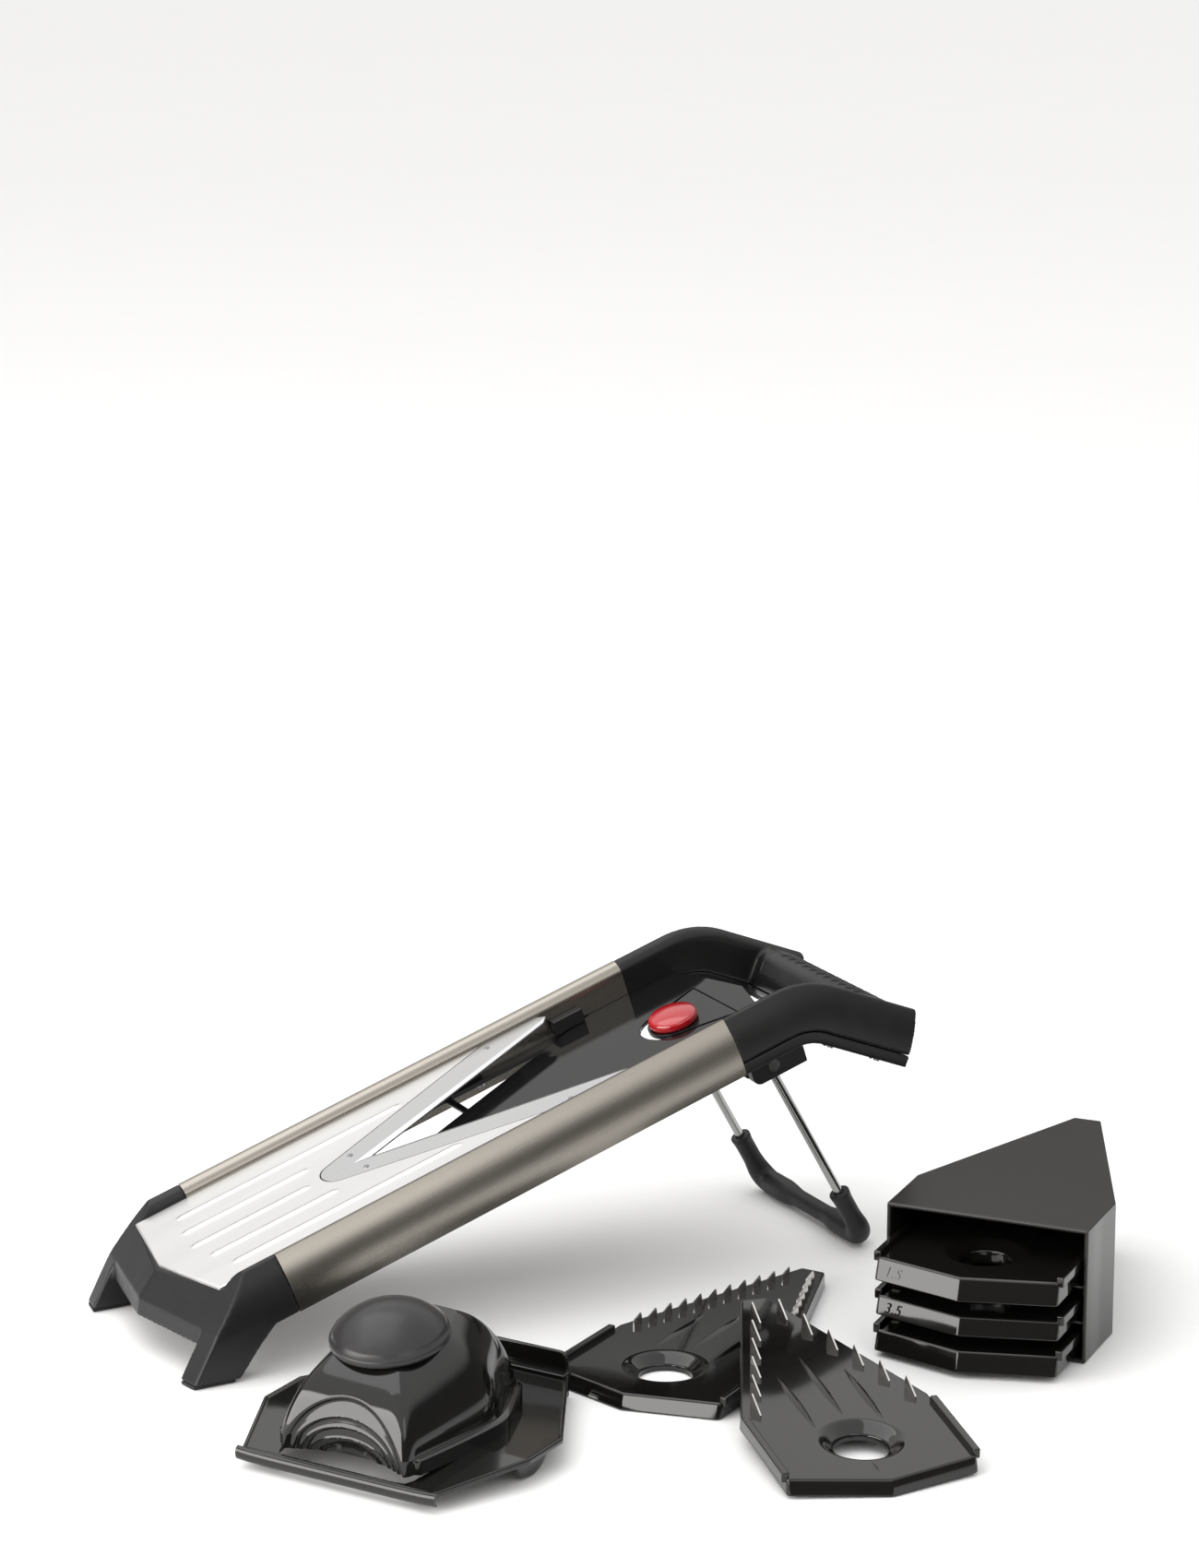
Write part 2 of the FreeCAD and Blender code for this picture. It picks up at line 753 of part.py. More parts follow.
def facet_x(z):
    """Where the middle of the front stands at a height."""
    middle, _ = facet_corner()
    x = middle.x + (max(z, panel_chamfer_top) - middle.z) / facet_slope
    return x + min(0.0, z - panel_chamfer_top) / toe_slope


def facet_cutter():
    """Everything in front of the two slanted front facets, in floor coordinates."""
    _, fall = facet_corner()
    rows = [(facet_x(z), z) for z in (-pad_height, panel_chamfer_top, ridge_height)]
    reach = half_gap + rail_width * 2
    return [facet_rows(rows, fall, reach, side) for side in (1, -1)]


def foot_leg():
    """One leg, flush with its rail, in floor coordinates."""
    heel = tilted_point(0, 0, -rail_depth)
    knee = tilted_point(-knee_along, 0, -rail_depth)
    shin = tilted_point(-shin_along, 0, -rail_depth - shin_drop)
    ridge = tilted_point(0, 0, 0)
    front = facet_x(0) - rail_width
    profile = [(ridge.x, ridge.z), (heel.x, heel.z), (knee.x, knee.z), (shin.x, shin.z),
               (pad_end + pad_inset, pad_height), (front, pad_height), (front, ridge.z)]
    inner_profile = profile[:4] + [(front, shin.z), (front, ridge.z)]
    outer = half_gap + rail_width
    leg = side_prism(profile, leg_inner, outer)
    block = leg.fuse(side_prism(inner_profile, half_gap, outer))
    section = tilted(rail_bar(front - rail_length, 0))
    below = side_prism([(front, -pad_height), (heel.x, -pad_height),
                        (heel.x, heel.z + leg_overlap),
                        (front, heel.z + leg_overlap + (front - heel.x) * math.tan(slope))],
                       half_gap, outer)
    return block.common(section.fuse(below))


def foot_body():
    """Front panel between the legs, below the feed plate."""
    depth = plate_drop + plate_wall
    front = facet_x(0) - rail_width
    top_front = tilted_point(front, 0, -depth)
    top_back = tilted_point(0, 0, -depth)
    top_mid = tilted_point(-panel_back, 0, -depth)
    low_back = facet_x(panel_bottom) + panel_wall + front_point
    return side_prism([(top_back.x, top_back.z), (top_front.x, top_front.z),
                       (top_front.x, panel_bottom), (low_back, panel_bottom),
                       (top_mid.x, top_mid.z - panel_lip), (top_back.x, top_back.z - panel_lip)],
                      -leg_inner - leg_overlap, leg_inner + leg_overlap)


def panel_chamfer():
    """Trims the panel's lower edge to a nearly upright strip, in floor coordinates."""
    _, fall = facet_corner()
    x = facet_x(panel_chamfer_top)
    rows = [(x - chamfer_lean, panel_bottom - 1), (x, panel_chamfer_top)]
    return [facet_rows(rows, fall, leg_inner, side) for side in (1, -1)]


def front_foot():
    leg = foot_leg()
    whole = foot_body().fuse([leg, mirrored(leg)])
    whole = whole.cut(facet_cutter()).cut(panel_chamfer())
    plate_room = tilted(polygon(mirror_points([
        (-plate_overhang - front_point - rail_width, 0), (-plate_overhang - rail_width, half_gap),
        (rail_width, half_gap)]), rail_depth, -plate_drop - plate_wall))
    outer = half_gap + rail_width
    steel_room = tilted(box(0, rail_length, -outer, outer, -2 * rail_depth, rail_depth))
    return whole.cut(plate_room).cut(steel_room).removeSplitter()


def foot_pad():
    """Rubber pad under a leg, flat on the floor."""
    _, fall = facet_corner()
    y0 = leg_inner + pad_inset
    y1 = half_gap + rail_width - pad_inset
    front = facet_x(0) + pad_inset
    back = pad_end - pad_inset
    return polygon([(front + fall * y0, y0), (back, y0), (back, y1), (front + fall * y1, y1)],
                   pad_height)


# ---------------------------------------------------------------- inserts
def insert_outline(shrink=0.0):
    half = insert_width / 2 - shrink
    tip = insert_tip_half - shrink * 0.7
    return mirror_points([(-insert_point + shrink, 0), (shrink, half),
                          (insert_shoulder, half), (insert_length - shrink, tip)])


def spindle(step, height):
    """A long tapering rib on an insert's top face."""
    x = spindle_starts[abs(step)]
    length = spindle_lengths[abs(step)]
    y = step * spindle_pitch
    thin = spindle_half / 50
    front = Part.makeCone(thin, spindle_half, length / 2, V(x, y, 0), V(1, 0, 0))
    back = Part.makeCone(spindle_half, thin, length / 2, V(x + length / 2, y, 0), V(1, 0, 0))
    rib = front.fuse(back)
    rib.translate(V(0, 0, height + spindle_rise - spindle_half))
    above = box(x, x + length, y - spindle_half, y + spindle_half,
                height - insert_skin / 2, height + spindle_rise)
    return rib.common(above)


def insert_plate(height):
    """House-shaped plate with a wall all round, a finger hole and three ribs."""
    body = polygon(insert_outline(), height)
    body = body.cut(polygon(insert_outline(insert_skin), height - insert_skin))
    boss = cylinder(hole_recess + insert_skin, height, (hole_station, 0, 0))
    body = body.fuse(boss)
    recess = Part.makeCone(insert_hole, hole_recess, recess_depth,
                           V(hole_station, 0, height - recess_depth))
    body = body.cut(cylinder(insert_hole, height, (hole_station, 0, 0))).cut(recess)
    half = insert_width / 2
    wing = box(wing_start, wing_end, half - wing_width, half + wing_reach,
               height - insert_skin, height + wing_rise)
    ribs = [spindle(step, height) for step in (-1, 0, 1)]
    return body.fuse([wing, mirrored(wing)] + ribs).removeSplitter()


def insert_side(x):
    """Half width of an insert where its sides run in to the tip."""
    run = insert_length - insert_shoulder
    return insert_width / 2 - (x - insert_shoulder) * (insert_width / 2 - insert_tip_half) / run


def tooth(size, x, y):
    """An upright tooth in line with the insert: its back is straight and its front slants."""
    low = julienne_height
    half = size["length"] / 2
    point = half - size["length"] / 12
    return side_prism([(x - half, low), (x + half, low), (x + half, low + size["tip"] * 0.6),
                       (x + point, low + size["tip"]), (x - half, low + size["heel"])],
                      y - tooth_wall / 2, y + tooth_wall / 2)


def teeth(size):
    """Two rows of teeth that follow the insert's vee."""
    count = 1 + int((insert_length - tooth_margin - size["first"]) / size["pitch"])
    rows = []
    for index in range(count):
        x = size["first"] + index * size["pitch"]
        piece = tooth(size, x, insert_side(x) - size["inset"])
        rows += [piece, mirrored(piece)]
    return Part.makeCompound(rows)


# ---------------------------------------------------------------- storage case
def case_outline(shrink, open_by=0.0):
    half = case_width / 2 - shrink
    tip = case_tip_half - shrink * 0.7
    return mirror_points([(-open_by, half), (case_parallel, half), (case_length - shrink, tip)])


def case_shell():
    body = polygon(case_outline(0.0), case_height)
    inner = polygon(case_outline(case_wall, 1.0), case_height - 2 * case_wall, case_wall)
    return body.cut(inner)


def slice_height(name):
    """An insert's height is what the bed and the slice thickness leave under the blades."""
    return bed_drop - plate_drop - slice_sizes[name]


def stack_level(name):
    order = ("medium", "thick", "thin")
    return stack_start + order.index(name) * case_pitch


def case_shelves():
    """Two short shelves under each insert but the lowest."""
    inner = case_width / 2 - case_wall
    shelves = []
    for name in ("thick", "thin"):
        high = stack_level(name) - shelf_gap
        shelf = box(shelf_start, case_parallel, inner - shelf_reach, inner, high - shelf_wall, high)
        shelves += [shelf, mirrored(shelf)]
    return Part.makeCompound(shelves)


# ---------------------------------------------------------------- hand guard
hood_top = hood_levels[-1][0]


def flange():
    """The guard's plate: it climbs from the near lip to the side corners, then runs level."""
    outline = mirror_points([(guard_near, guard_near_half), (guard_side_low, guard_side_half),
                             (guard_side_high, guard_side_half), (guard_far, guard_far_half)])
    blank = polygon(outline, flange_side_level)
    band = side_prism([(guard_near, flange_level), (guard_side_low, flange_side_level),
                       (guard_far, flange_side_level),
                       (guard_far, flange_side_level - guard_wall),
                       (guard_side_low, flange_side_level - guard_wall),
                       (guard_near, flange_level - guard_wall)],
                      -guard_side_half, guard_side_half)
    return blank.common(band)


def hood_outline(draw, shrink):
    """Six corners of the hood, drawn in towards the knob's axis."""
    corners = mirror_points([(hood_near, hood_near_half), (hood_mid, hood_mid_half),
                             (hood_far, hood_far_half)])
    points = []
    for x, y in corners:
        px = (x - knob_place) * (1 - draw)
        py = y * (1 - draw)
        scale = 1 - shrink / math.hypot(px, py)
        points.append((knob_place + px * scale, py * scale))
    return points


def hood(shrink):
    """Faceted hood of the guard, lofted from the floor to the crown."""
    wires = []
    rise = math.tan(math.radians(crown_tilt_deg))
    for level, draw in hood_levels:
        low = max(0.0, level - shrink)
        tip = rise * (low / hood_top) ** 2
        corners = [V(x, y, low + tip * (x - knob_place)) for x, y in hood_outline(draw, shrink)]
        wires.append(Part.makePolygon(corners + corners[:1]))
    return Part.makeLoft(wires, True, True)


def guard_shell():
    """Flange, lips, skirts and hood in one moulding, open below, with a collar for the stem."""
    near_lip = box(guard_near - lip_bulge, guard_near, -guard_near_half, guard_near_half,
                   flange_level - lip_drop, flange_level)
    far_lip = box(guard_far - guard_wall, guard_far, -guard_far_half, guard_far_half, 0,
                  far_wall_top)
    skirt = box(skirt_start, skirt_end, skirt_inner, skirt_inner + guard_wall, 0,
                flange_side_level - guard_wall / 2)
    collar = cylinder(stem_radius_guard + stem_fit + collar_wall, collar_depth + knob_side,
                      (knob_place, 0, hood_top - collar_depth)).common(hood(0.0))
    bore = cylinder(stem_radius_guard + stem_fit, hood_top + knob_side, (knob_place, 0, 0))
    body = flange().fuse([near_lip, far_lip, skirt, mirrored(skirt), hood(0.0)])
    return body.cut(hood(guard_wall)).fuse(collar).cut(bore).removeSplitter()


def plunger_knob():
    low = hood_top + knob_clearance
    side = cylinder(knob_radius, knob_side, (knob_place, 0, low))
    cap_radius = (knob_radius ** 2 + knob_dome ** 2) / (2 * knob_dome)
    cap = Part.makeSphere(cap_radius, V(knob_place, 0, low + knob_side + knob_dome - cap_radius))
    cap = cap.common(cylinder(knob_radius, knob_dome, (knob_place, 0, low + knob_side)))
    knob = fuse(side, cap)
    knob.rotate(V(knob_place, 0, hood_top), V(0, 1, 0), -crown_tilt_deg)
    return knob


def plunger_stem():
    low = prong_plate_level + prong_plate_wall
    height = hood_top + knob_clearance + knob_side - low
    return cylinder(stem_radius_guard, height, (knob_place, 0, low)).cut(plunger_knob())


def prong_plate():
    return cylinder(prong_plate_radius, prong_plate_wall, (knob_place, 0, prong_plate_level))


def prongs():
    pins = []
    for index in range(prong_count):
        angle = 2 * math.pi * index / prong_count
        x = knob_place + prong_ring * math.cos(angle)
        y = prong_ring * math.sin(angle)
        pins.append(Part.makeCone(prong_point, prong_radius, prong_length,
                                  V(x, y, prong_plate_level - prong_length)))
    return Part.makeCompound(pins)


# ---------------------------------------------------------------- the whole set
def stored(shape, name):
    """A thickness insert in its slot of the case."""
    out = shape.copy()
    out.translate(V(-insert_out - insert_slack[name], 0, stack_level(name)))
    return placed(out, *case_place, case_yaw)


def loose_near(shape):
    """The insert that leans on the other one, with its base edge on the floor."""
    rise = insert_point * math.sin(math.radians(near_lean_deg))
    return placed(shape, *near_place, near_yaw, near_lean_deg, rise)


def model():
    nodes = {
        "front_foot": front_foot(),
        "foot_pads": both(foot_pad()),
        "rail_cover_left": tilted(rail_cover()),
        "rail_cover_right": tilted(mirrored(rail_cover())),
        "rail_core_left": tilted(rail_core()),
        "rail_core_right": tilted(mirrored(rail_core())),
        "ledge_left": tilted(rail_ledge()),
        "ledge_right": tilted(mirrored(rail_ledge())),
        "feed_plate": tilted(feed_plate()),
        "blade_left": tilted(blade()),
        "blade_right": tilted(mirrored(blade())),
        "blade_rivets": tilted(rivets()),
        "blade_carrier": tilted(blade_carrier()),
        "bed": tilted(bed()),
        "bed_screws": tilted(bed_screws()),
        "cross_rod": tilted(cross_rod()),
        "guide_blocks": tilted(both(guide_block())),
        "release_tongue": tilted(tongue()),
        "release_button": tilted(button()),
        "release_stem": tilted(button_stem()),
        "handle_upper": tilted(handle_upper()),
        "handle_lower": tilted(handle_lower()),
        "handle_screws": tilted(handle_screws()),
        "grip_pad": tilted(grip_pad()),
        "pivot_block_left": tilted(pivot_block()),
        "pivot_block_right": tilted(mirrored(pivot_block())),
        "pivot_pins": tilted(both(pivot_pin())),
        "stand_wire": stand_wire(),
        "stand_sleeve": stand_sleeve(),
        "case_shell": placed(case_shell(), *case_place, case_yaw),
        "case_shelves": placed(case_shelves(), *case_place, case_yaw),
    }
    for name in slice_sizes:
        nodes["insert_" + name] = stored(insert_plate(slice_height(name)), name)
    nodes["julienne_fine_plate"] = placed(insert_plate(julienne_height), *far_place, far_yaw)
    nodes["julienne_fine_teeth"] = placed(teeth(fine_teeth), *far_place, far_yaw)
    nodes["julienne_coarse_plate"] = loose_near(insert_plate(julienne_height))
    nodes["julienne_coarse_teeth"] = loose_near(teeth(coarse_teeth))
    for name, shape in (("guard_shell", guard_shell()), ("plunger_knob", plunger_knob()),
                        ("plunger_stem", plunger_stem()), ("prong_plate", prong_plate()),
                        ("prongs", prongs())):
        nodes[name] = placed(shape, *guard_place, guard_yaw)
    return nodes


def centring(nodes):
    """The move that brings the middle of the set's base to the origin."""
    whole = FreeCAD.BoundBox()
    for shape in nodes.values():
        whole.add(shape.optimalBoundingBox(False))
    return V(-(whole.XMin + whole.XMax) / 2, -(whole.YMin + whole.YMax) / 2, -whole.ZMin)


def main():
    os.makedirs("parts", exist_ok=True)
    nodes = model()
    move = centring(nodes)
    for name, shape in nodes.items():
        shape.translate(move)
        shape.exportStep("parts/" + name + ".step")


if __name__ == "__main__":
    main()
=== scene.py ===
import json
import math

import bmesh
import bpy
import numpy as np
from mathutils import Matrix, Vector


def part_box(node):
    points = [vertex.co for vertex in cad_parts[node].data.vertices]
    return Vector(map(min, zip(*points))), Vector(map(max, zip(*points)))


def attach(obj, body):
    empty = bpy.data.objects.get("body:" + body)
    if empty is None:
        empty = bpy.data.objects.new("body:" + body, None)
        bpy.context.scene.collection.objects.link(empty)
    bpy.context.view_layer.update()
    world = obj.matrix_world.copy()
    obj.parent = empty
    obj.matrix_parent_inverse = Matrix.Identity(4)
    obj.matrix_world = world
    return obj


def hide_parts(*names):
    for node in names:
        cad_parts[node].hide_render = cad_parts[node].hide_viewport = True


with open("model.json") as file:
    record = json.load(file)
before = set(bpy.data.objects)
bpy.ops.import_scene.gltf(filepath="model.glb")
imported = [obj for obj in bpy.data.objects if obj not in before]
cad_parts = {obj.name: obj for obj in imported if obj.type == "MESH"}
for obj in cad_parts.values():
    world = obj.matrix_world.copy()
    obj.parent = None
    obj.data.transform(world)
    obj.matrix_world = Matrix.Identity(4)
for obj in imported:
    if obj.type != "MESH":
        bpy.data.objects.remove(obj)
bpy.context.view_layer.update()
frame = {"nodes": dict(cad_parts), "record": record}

MM = 0.001
NODES = frame["nodes"]

# ------------------------------------------------------------------ local frames of the pieces
# Pieces are drawn in millimetres, each in its own local frame. The places are measured from the
# point on the ground below the lower end of the rails, on the slicer's middle line.
rail_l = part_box("rail_cover_left")
rail_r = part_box("rail_cover_right")
MOVE = Vector((rail_l[0].x, (rail_l[1].y + rail_r[0].y) / 2, 0))
SLOPE_DEG = 17.94                    # the slicer's slope
TILT = math.radians(SLOPE_DEG)
RIDGE = 60.4                         # height of the rails' top line at their lower end
INSERT_NOSE = 12.8                   # how far the point of an insert's wide edge stands out
COARSE_LEAN = 5.3                    # degrees; this insert leans on the other one


def place(x, y, yaw, lean=0.0, z=0.0):
    """A local frame on the ground: turned about the vertical, then leaned up at its far end."""
    turn = Matrix.Rotation(math.radians(yaw), 4, "Z") @ Matrix.Rotation(-math.radians(lean), 4, "Y")
    return Matrix.Translation(MOVE + Vector((x, y, z)) * MM) @ turn


SLICER = place(0, 0, 0, math.degrees(TILT), RIDGE)
GUARD = place(36.1, -168.1, 30.4)
FINE = place(135.9, -184.6, 30.9)
COARSE = place(188.6, -334.6, 78.9, COARSE_LEAN,
               INSERT_NOSE * math.sin(math.radians(COARSE_LEAN)))
CASE = place(327.1, -207.7, 38.06)


# ------------------------------------------------------------------ materials
ALONG = (0, TILT, 0)                 # turns the brushing along the rails
BRUSHED = (0.035, 1, 1)              # stretch of brushed grain
BRUSHED_ROUGH = (0.1, 1, 1)          # stretch of the roughness along brushing
BRUSHED_SHADE = (0.25, 1, 1)         # stretch of the tone along brushing
GRAIN_DEPTH = 0.0003                 # metres
COAT_ROUGH = 0.08
EDGE_FROM, EDGE_TO = 0.53, 0.62      # pointiness where the painted edge highlight starts and is full


def link(tree, a, b):
    tree.links.new(a, b)


def surface(name, colour, rough, metal=0.0, grain=None, grain_size=900.0, grain_bump=0.05,
            spread=0.06, mottle=0.12, coat=0.0, edge_highlight=0.0, specular=0.5, turn=None,
            rough_scale=60.0):
    """A procedural surface: mottled colour, uneven roughness, fine grain or brushing, painted
    highlights on convex edges.
    """
    mat = bpy.data.materials.get(name) or bpy.data.materials.new(name)
    mat.use_nodes = True
    t = mat.node_tree
    t.nodes.clear()
    out = t.nodes.new("ShaderNodeOutputMaterial")
    shader = t.nodes.new("ShaderNodeBsdfPrincipled")
    link(t, shader.outputs["BSDF"], out.inputs["Surface"])
    shader.inputs["Metallic"].default_value = metal
    shader.inputs["Specular IOR Level"].default_value = specular
    shader.inputs["Coat Weight"].default_value = coat
    shader.inputs["Coat Roughness"].default_value = COAT_ROUGH
    coords = t.nodes.new("ShaderNodeTexCoord").outputs["Object"]
    place_map = t.nodes.new("ShaderNodeMapping")
    link(t, coords, place_map.inputs["Vector"])
    if turn is not None:
        place_map.inputs["Rotation"].default_value = turn
    base = place_map.outputs["Vector"]

    def noise(scale, detail=3.0, stretch=None, rough_value=0.55):
        node = t.nodes.new("ShaderNodeTexNoise")
        node.inputs["Scale"].default_value = scale
        node.inputs["Detail"].default_value = detail
        node.inputs["Roughness"].default_value = rough_value
        source = base
        if stretch is not None:
            m = t.nodes.new("ShaderNodeMapping")
            m.inputs["Scale"].default_value = stretch
            link(t, base, m.inputs["Vector"])
            source = m.outputs["Vector"]
        link(t, source, node.inputs["Vector"])
        return node.outputs["Fac"]

    def ramp(fac, first, last, at=(0.3, 0.7)):
        node = t.nodes.new("ShaderNodeValToRGB")
        node.color_ramp.elements[0].position = at[0]
        node.color_ramp.elements[1].position = at[1]
        node.color_ramp.elements[0].color = (*first, 1)
        node.color_ramp.elements[1].color = (*last, 1)
        link(t, fac, node.inputs["Fac"])
        return node.outputs["Color"]

    dark = [c * (1 - mottle) for c in colour]
    light = [min(1.0, c * (1 + mottle)) for c in colour]
    brushed = grain == "brushed"
    shade = ramp(noise(14.0, 4.0, BRUSHED_SHADE if brushed else None), dark, light)
    # Painted highlight: convex edges, found by pointiness, are mixed towards a colour 2.2 times
    # lighter. This stands in for light catching the edges.
    if edge_highlight > 0:
        edge = t.nodes.new("ShaderNodeNewGeometry").outputs["Pointiness"]
        edge_highlight_mask = ramp(edge, (0, 0, 0), (edge_highlight, edge_highlight, edge_highlight), (EDGE_FROM, EDGE_TO))
        mix = t.nodes.new("ShaderNodeMix")
        mix.data_type = "RGBA"
        link(t, edge_highlight_mask, mix.inputs[0])
        link(t, shade, mix.inputs[6])
        mix.inputs[7].default_value = (*[min(1, c * 2.2) for c in colour], 1)
        shade = mix.outputs[2]
    link(t, shade, shader.inputs["Base Color"])
    low, high = max(0.02, rough - spread), min(1.0, rough + spread)
    rough_noise = noise(rough_scale, 5.0, BRUSHED_ROUGH if brushed else None)
    uneven = ramp(rough_noise, (low,) * 3, (high,) * 3)
    link(t, uneven, shader.inputs["Roughness"])
    bump = t.nodes.new("ShaderNodeBump")
    bump.inputs["Strength"].default_value = grain_bump
    bump.inputs["Distance"].default_value = GRAIN_DEPTH
    link(t, noise(grain_size, 4.0, BRUSHED if brushed else None, 0.65), bump.inputs["Height"])
    link(t, bump.outputs["Normal"], shader.inputs["Normal"])
    mat.diffuse_color = (*colour, 1)
    return mat


# The edge values below set how strongly convex edges get a painted highlight.
MATS = {
    "foot_plastic": surface("foot_plastic", (0.0085, 0.0085, 0.0092), 0.40, grain_size=2600,
                            grain_bump=0.14, spread=0.05, edge_highlight=0.5, specular=0.35),
    "pad_rubber": surface("pad_rubber", (0.009, 0.009, 0.0095), 0.75, grain_size=1800,
                          grain_bump=0.2),
    "rail_steel": surface("rail_steel", (0.315, 0.292, 0.258), 0.27, 1.0, "brushed", 1900, 0.03,
                          0.02, 0.03, turn=ALONG),
    "core_plastic": surface("core_plastic", (0.02, 0.02, 0.021), 0.5, grain_size=1800),
    "plate_steel": surface("plate_steel", (0.77, 0.765, 0.76), 0.38, 1.0, "brushed", 1400, 0.03,
                           0.03, 0.015, turn=ALONG),
    "blade_steel": surface("blade_steel", (0.60, 0.60, 0.605), 0.32, 1.0, "brushed", 1500, 0.03,
                           0.03, 0.02, turn=ALONG),
    "pin_steel": surface("pin_steel", (0.33, 0.33, 0.34), 0.28, 1.0, grain_size=2000,
                         grain_bump=0.05),
    "bed_plastic": surface("bed_plastic", (0.006, 0.006, 0.0064), 0.06, grain_size=260,
                           grain_bump=0.012, spread=0.02, specular=0.32),
    "block_plastic": surface("block_plastic", (0.010, 0.010, 0.010), 0.33, grain_size=2200,
                             grain_bump=0.1),
    "button_red": surface("button_red", (0.36, 0.005, 0.010), 0.13, grain_size=200,
                          grain_bump=0.01, spread=0.04, coat=0.6, mottle=0.05),
    "handle_plastic": surface("handle_plastic", (0.0075, 0.0073, 0.0073), 0.36, grain_size=3000,
                              grain_bump=0.12, spread=0.05, edge_highlight=0.5, specular=0.35),
    "grip_rubber": surface("grip_rubber", (0.009, 0.009, 0.0092), 0.5, grain_size=2600,
                           grain_bump=0.18, edge_highlight=0.4),
    "wire_chrome": surface("wire_chrome", (0.42, 0.42, 0.42), 0.14, 1.0, grain_size=400,
                           grain_bump=0.03, spread=0.04, mottle=0.04),
    "sleeve_rubber": surface("sleeve_rubber", (0.0085, 0.0085, 0.0088), 0.46, grain_size=2400,
                             grain_bump=0.14, edge_highlight=0.4, specular=0.35),
    "insert_plastic": surface("insert_plastic", (0.006, 0.0056, 0.0052), 0.06, grain_size=160,
                              grain_bump=0.008, spread=0.015, coat=0.1),
    "teeth_steel": surface("teeth_steel", (0.62, 0.61, 0.58), 0.26, 1.0, grain_size=900,
                           grain_bump=0.08),
    "case_plastic": surface("case_plastic", (0.0115, 0.0106, 0.0096), 0.25, grain_size=2600,
                            grain_bump=0.05, spread=0.015, mottle=0.05, rough_scale=25),
    "guard_plastic": surface("guard_plastic", (0.006, 0.0057, 0.0054), 0.07, grain_size=150,
                             grain_bump=0.008, spread=0.015, coat=0.1),
    "knob_plastic": surface("knob_plastic", (0.02, 0.019, 0.0195), 0.30, grain_size=2800,
                            grain_bump=0.08, spread=0.05, edge_highlight=0.4, specular=0.4),
}
SLOT_OF = {row["node"]: row["material_slot"] for row in frame["record"]["subparts"]}
BODY_OF = {n: body for body, names in frame["record"]["behaviour"]["bodies"].items() for n in names}
for node_name, obj in NODES.items():
    obj.data.materials.clear()
    obj.data.materials.append(MATS[SLOT_OF[node_name]])


# ------------------------------------------------------------------ mesh helpers
SEAM = 3e-6                          # metres; CAD corners closer than this are one corner


def finish_mesh(name, mesh, node, sharp=40.0, weighted=True, slot=None, body=None):
    """Makes the object, shades it, and lets it ride where its CAD node does.

    With a body given it is an extra piece on that body and stands for no node.
    """
    obj = bpy.data.objects.new(name, mesh)
    bpy.context.scene.collection.objects.link(obj)
    mesh.materials.clear()
    mesh.materials.append(MATS[slot or SLOT_OF[node]])
    mesh.shade_smooth()
    mesh.set_sharp_from_angle(angle=math.radians(sharp))
    if weighted:
        mod = obj.modifiers.new("normals", "WEIGHTED_NORMAL")
        mod.keep_sharp = True
    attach(obj, body or BODY_OF[node])
    if body is None:
        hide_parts(node)
    return obj


def mesh_from(name, verts, faces, matrix=None, merge=1e-6):
    """A mesh from points in millimetres in a local frame."""
    mesh = bpy.data.meshes.new(name)
    pts = [Vector(v) * MM for v in verts]
    if matrix is not None:
        pts = [matrix @ p for p in pts]
    mesh.from_pydata(pts, [], faces)
    mesh.validate()
    bm = bmesh.new()
    bm.from_mesh(mesh)
    if merge:
        bmesh.ops.remove_doubles(bm, verts=bm.verts, dist=merge)
    bmesh.ops.recalc_face_normals(bm, faces=bm.faces)
    bm.to_mesh(mesh)
    bm.free()
    return mesh


def rounded(node, width, segments=3, angle=32.0):
    """The CAD node with its edges sharper than angle rounded off."""
    bm = bmesh.new()
    bm.from_mesh(NODES[node].data)
    bmesh.ops.remove_doubles(bm, verts=bm.verts, dist=SEAM)
    bmesh.ops.dissolve_limit(bm, angle_limit=math.radians(0.6), verts=bm.verts, edges=bm.edges)
    edges = [e for e in bm.edges if len(e.link_faces) == 2
             and e.calc_face_angle(0.0) > math.radians(angle)]
    bmesh.ops.bevel(bm, geom=edges, offset=width * MM, offset_type="OFFSET", segments=segments,
                    profile=0.5, affect="EDGES", clamp_overlap=True)
    mesh = bpy.data.meshes.new(node + "_soft")
    bm.to_mesh(mesh)
    bm.free()
    return finish_mesh(node + "_soft", mesh, node)


def melted(node, voxel, rounds):
    """The CAD node as one moulded form: remeshed, then eased so that edges and joins round off."""
    mesh = bpy.data.meshes.new(node + "_moulded")
    bm = bmesh.new()
    bm.from_mesh(NODES[node].data)
    bmesh.ops.remove_doubles(bm, verts=bm.verts, dist=SEAM)
    bm.to_mesh(mesh)
    bm.free()
    temp = bpy.data.objects.new(node + "_temp", mesh)
    bpy.context.scene.collection.objects.link(temp)
    remesh = temp.modifiers.new("remesh", "REMESH")
    remesh.mode = "VOXEL"
    remesh.voxel_size = voxel * MM
    remesh.use_smooth_shade = True
    ease = temp.modifiers.new("ease", "SMOOTH")
    ease.factor = 0.5
    ease.iterations = rounds
    dg = bpy.context.evaluated_depsgraph_get()
    done = bpy.data.meshes.new_from_object(temp.evaluated_get(dg))
    bpy.data.objects.remove(temp)
    done.name = node + "_moulded"
    return finish_mesh(node + "_moulded", done, node, sharp=180.0, weighted=False)


